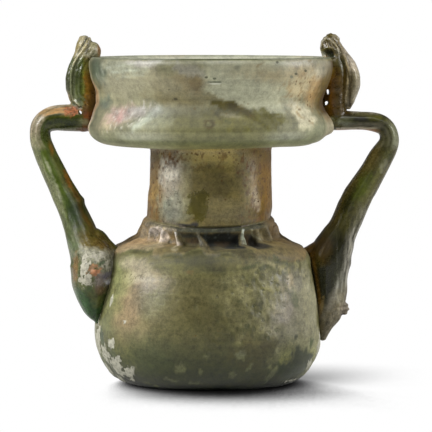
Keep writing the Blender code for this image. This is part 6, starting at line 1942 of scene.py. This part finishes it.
voxel = 0.24
left = fused("handle_left", [sweep(LEFT_ROD, 40, 8), sweep(LEFT_STRAP, 36, 8), sweep(LEFT_LEAF, 32, 8), sweep(LEFT_FLARE, 28, 8), ball(LEFT_LOBE)],
             voxel, [(-35.35, 76.0, 0.42, 0.6, 20.0)])
left = finish_handle("handle_left_glass", left, tree, LEFT_ROD, left_shape, left_colour)
place(left, green, "handle_left")
right = fused("handle_right", [sweep(RIGHT_ROD, 40, 8), sweep(RIGHT_STRAP, 36, 8), sweep(RIGHT_LEAF, 32, 8), sweep(RIGHT_FLARE, 28, 8), ball(RIGHT_KNOB, 2.0)],
              voxel, [(33.9, 81.7, 0.38, 0.75, 10.0), (33.55, 78.5, 0.5, 0.62, -20.0)])
right = finish_handle("handle_right_glass", right, tree, RIGHT_ROD, right_shape, right_colour)
place(right, green, "handle_right")


# ------------------------------------------------------------------------ stage
# The floor is shaded by how much of the sky each of two soft light banks, one
# behind and one to the left, the object hides: lean, reach, range, power.
FLOOR_BANKS = (
    ((-1.57, 6.94, 1.0), 0.122, (0.37, 0.712), 3.4),
    ((-2.90, -1.94, 1.0), 0.093, (0.113, 0.716), 1.65),
)


def make_floor():
    """Plain white floor. The camera sees it white, darkened softly where the vessel shades it."""
    mesh = bpy.data.meshes.new("floor")
    r, n = 3.0, 64
    vs = [(r * math.cos(2 * math.pi * i / n), r * math.sin(2 * math.pi * i / n), 0.0) for i in range(n)]
    mesh.from_pydata(vs, [], [tuple(range(n))])
    ob = bpy.data.objects.new("floor", mesh)
    bpy.context.scene.collection.objects.link(ob)
    mat = bpy.data.materials.new("floor_white")
    mat.use_nodes = True
    t = mat.node_tree
    t.nodes.clear()
    out = t.nodes.new("ShaderNodeOutputMaterial")
    pick = t.nodes.new("ShaderNodeMixShader")
    path = t.nodes.new("ShaderNodeLightPath")
    seen = t.nodes.new("ShaderNodeEmission")
    lit = t.nodes.new("ShaderNodeBsdfDiffuse")
    shades = []
    for lean_to, reach, (lo, hi), power in FLOOR_BANKS:
        near = t.nodes.new("ShaderNodeAmbientOcclusion")
        near.samples = 32
        near.inputs["Distance"].default_value = reach
        lean = t.nodes.new("ShaderNodeCombineXYZ")
        size = math.sqrt(sum(v * v for v in lean_to))
        for sock, v in zip(lean.inputs, lean_to):
            sock.default_value = v / size
        span = t.nodes.new("ShaderNodeMapRange")
        span.clamp = True
        span.inputs["From Min"].default_value = lo
        span.inputs["From Max"].default_value = hi
        deepen = t.nodes.new("ShaderNodeMath")
        deepen.operation = "POWER"
        deepen.inputs[1].default_value = power
        t.links.new(lean.outputs[0], near.inputs["Normal"])
        t.links.new(near.outputs["AO"], span.inputs["Value"])
        t.links.new(span.outputs[0], deepen.inputs[0])
        shades.append(deepen.outputs[0])
    both = t.nodes.new("ShaderNodeMath")
    both.operation = "MULTIPLY"
    t.links.new(shades[0], both.inputs[0])
    t.links.new(shades[1], both.inputs[1])
    t.links.new(both.outputs[0], seen.inputs["Color"])
    lit.inputs["Color"].default_value = (0.55, 0.55, 0.54, 1)
    t.links.new(path.outputs["Is Camera Ray"], pick.inputs[0])
    t.links.new(lit.outputs[0], pick.inputs[1])
    t.links.new(seen.outputs[0], pick.inputs[2])
    t.links.new(pick.outputs[0], out.inputs[0])
    mesh.materials.append(mat)
    ob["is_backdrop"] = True


def make_world():
    world = bpy.data.worlds.new("studio")
    bpy.context.scene.world = world
    world.use_nodes = True
    t = world.node_tree
    t.nodes.clear()
    out = t.nodes.new("ShaderNodeOutputWorld")
    bg = t.nodes.new("ShaderNodeBackground")
    seen = t.nodes.new("ShaderNodeBackground")
    path = t.nodes.new("ShaderNodeLightPath")
    mix = t.nodes.new("ShaderNodeMixShader")
    seen.inputs[0].default_value = (1, 1, 1, 1)
    coord = t.nodes.new("ShaderNodeTexCoord")
    sep = t.nodes.new("ShaderNodeSeparateXYZ")
    rng = t.nodes.new("ShaderNodeMapRange")
    rng.interpolation_type = "SMOOTHSTEP"
    rng.inputs[1].default_value = -0.9
    rng.inputs[2].default_value = 0.7
    rng.inputs[3].default_value = 0.05
    rng.inputs[4].default_value = 0.42
    t.links.new(coord.outputs["Generated"], sep.inputs[0])
    t.links.new(sep.outputs["Y"], rng.inputs[0])
    gloss = t.nodes.new("ShaderNodeMapRange")
    gloss.inputs[3].default_value = 1.0
    gloss.inputs[4].default_value = 0.55
    dim = t.nodes.new("ShaderNodeMath")
    dim.operation = "MULTIPLY"
    t.links.new(path.outputs["Is Glossy Ray"], gloss.inputs[0])
    t.links.new(rng.outputs[0], dim.inputs[0])
    t.links.new(gloss.outputs[0], dim.inputs[1])
    t.links.new(dim.outputs[0], bg.inputs["Strength"])
    bg.inputs[0].default_value = (1.0, 0.995, 0.98, 1)
    t.links.new(path.outputs["Is Camera Ray"], mix.inputs[0])
    t.links.new(bg.outputs[0], mix.inputs[1])
    t.links.new(seen.outputs[0], mix.inputs[2])
    t.links.new(mix.outputs[0], out.inputs[0])


def area(name, place_at, aim, size, size_y, watts, colour):
    lamp = bpy.data.lights.new(name, "AREA")
    lamp.shape = "RECTANGLE"
    lamp.size, lamp.size_y = size, size_y
    lamp.energy = watts
    lamp.color = colour
    ob = bpy.data.objects.new(name, lamp)
    bpy.context.scene.collection.objects.link(ob)
    ob.location = place_at
    ob.rotation_euler = (Vector(aim) - Vector(place_at)).to_track_quat("-Z", "Y").to_euler()
    return ob


make_floor()
make_world()
area("key_left", (-0.60, -0.26, 0.46), (0, 0, 0.05), 0.34, 0.34, 9.0, (1.0, 0.985, 0.955))
area("fill_right", (0.66, -0.06, 0.30), (0, 0, 0.05), 0.20, 0.36, 4.2, (1.0, 0.985, 0.955))
area("top_soft", (0.10, -0.45, 0.66), (0, 0, 0.05), 0.4, 0.3, 4.0, (1.0, 1.0, 1.0))

cam = bpy.data.cameras.new("camera")
cam.lens = 3352.0 / 432.0 * 36.0
cam.sensor_width = 36.0
cam.clip_start = 0.01
cam_ob = bpy.data.objects.new("camera", cam)
bpy.context.scene.collection.objects.link(cam_ob)
cam_ob.location = (0.0026, -0.940, 0.1065)
cam_ob.rotation_euler = (Vector((0.0026, 0.0, 0.0468)) - Vector(cam_ob.location)).to_track_quat("-Z", "Y").to_euler()
bpy.context.scene.camera = cam_ob
bpy.context.scene.view_settings.view_transform = "Standard"
bpy.context.scene.view_settings.look = "None"


def plain(value):
    return float(value) if isinstance(value, (int, float)) else [plain(v) for v in value]


{"cad": plain(cad_bounds), "visual": plain(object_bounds())}
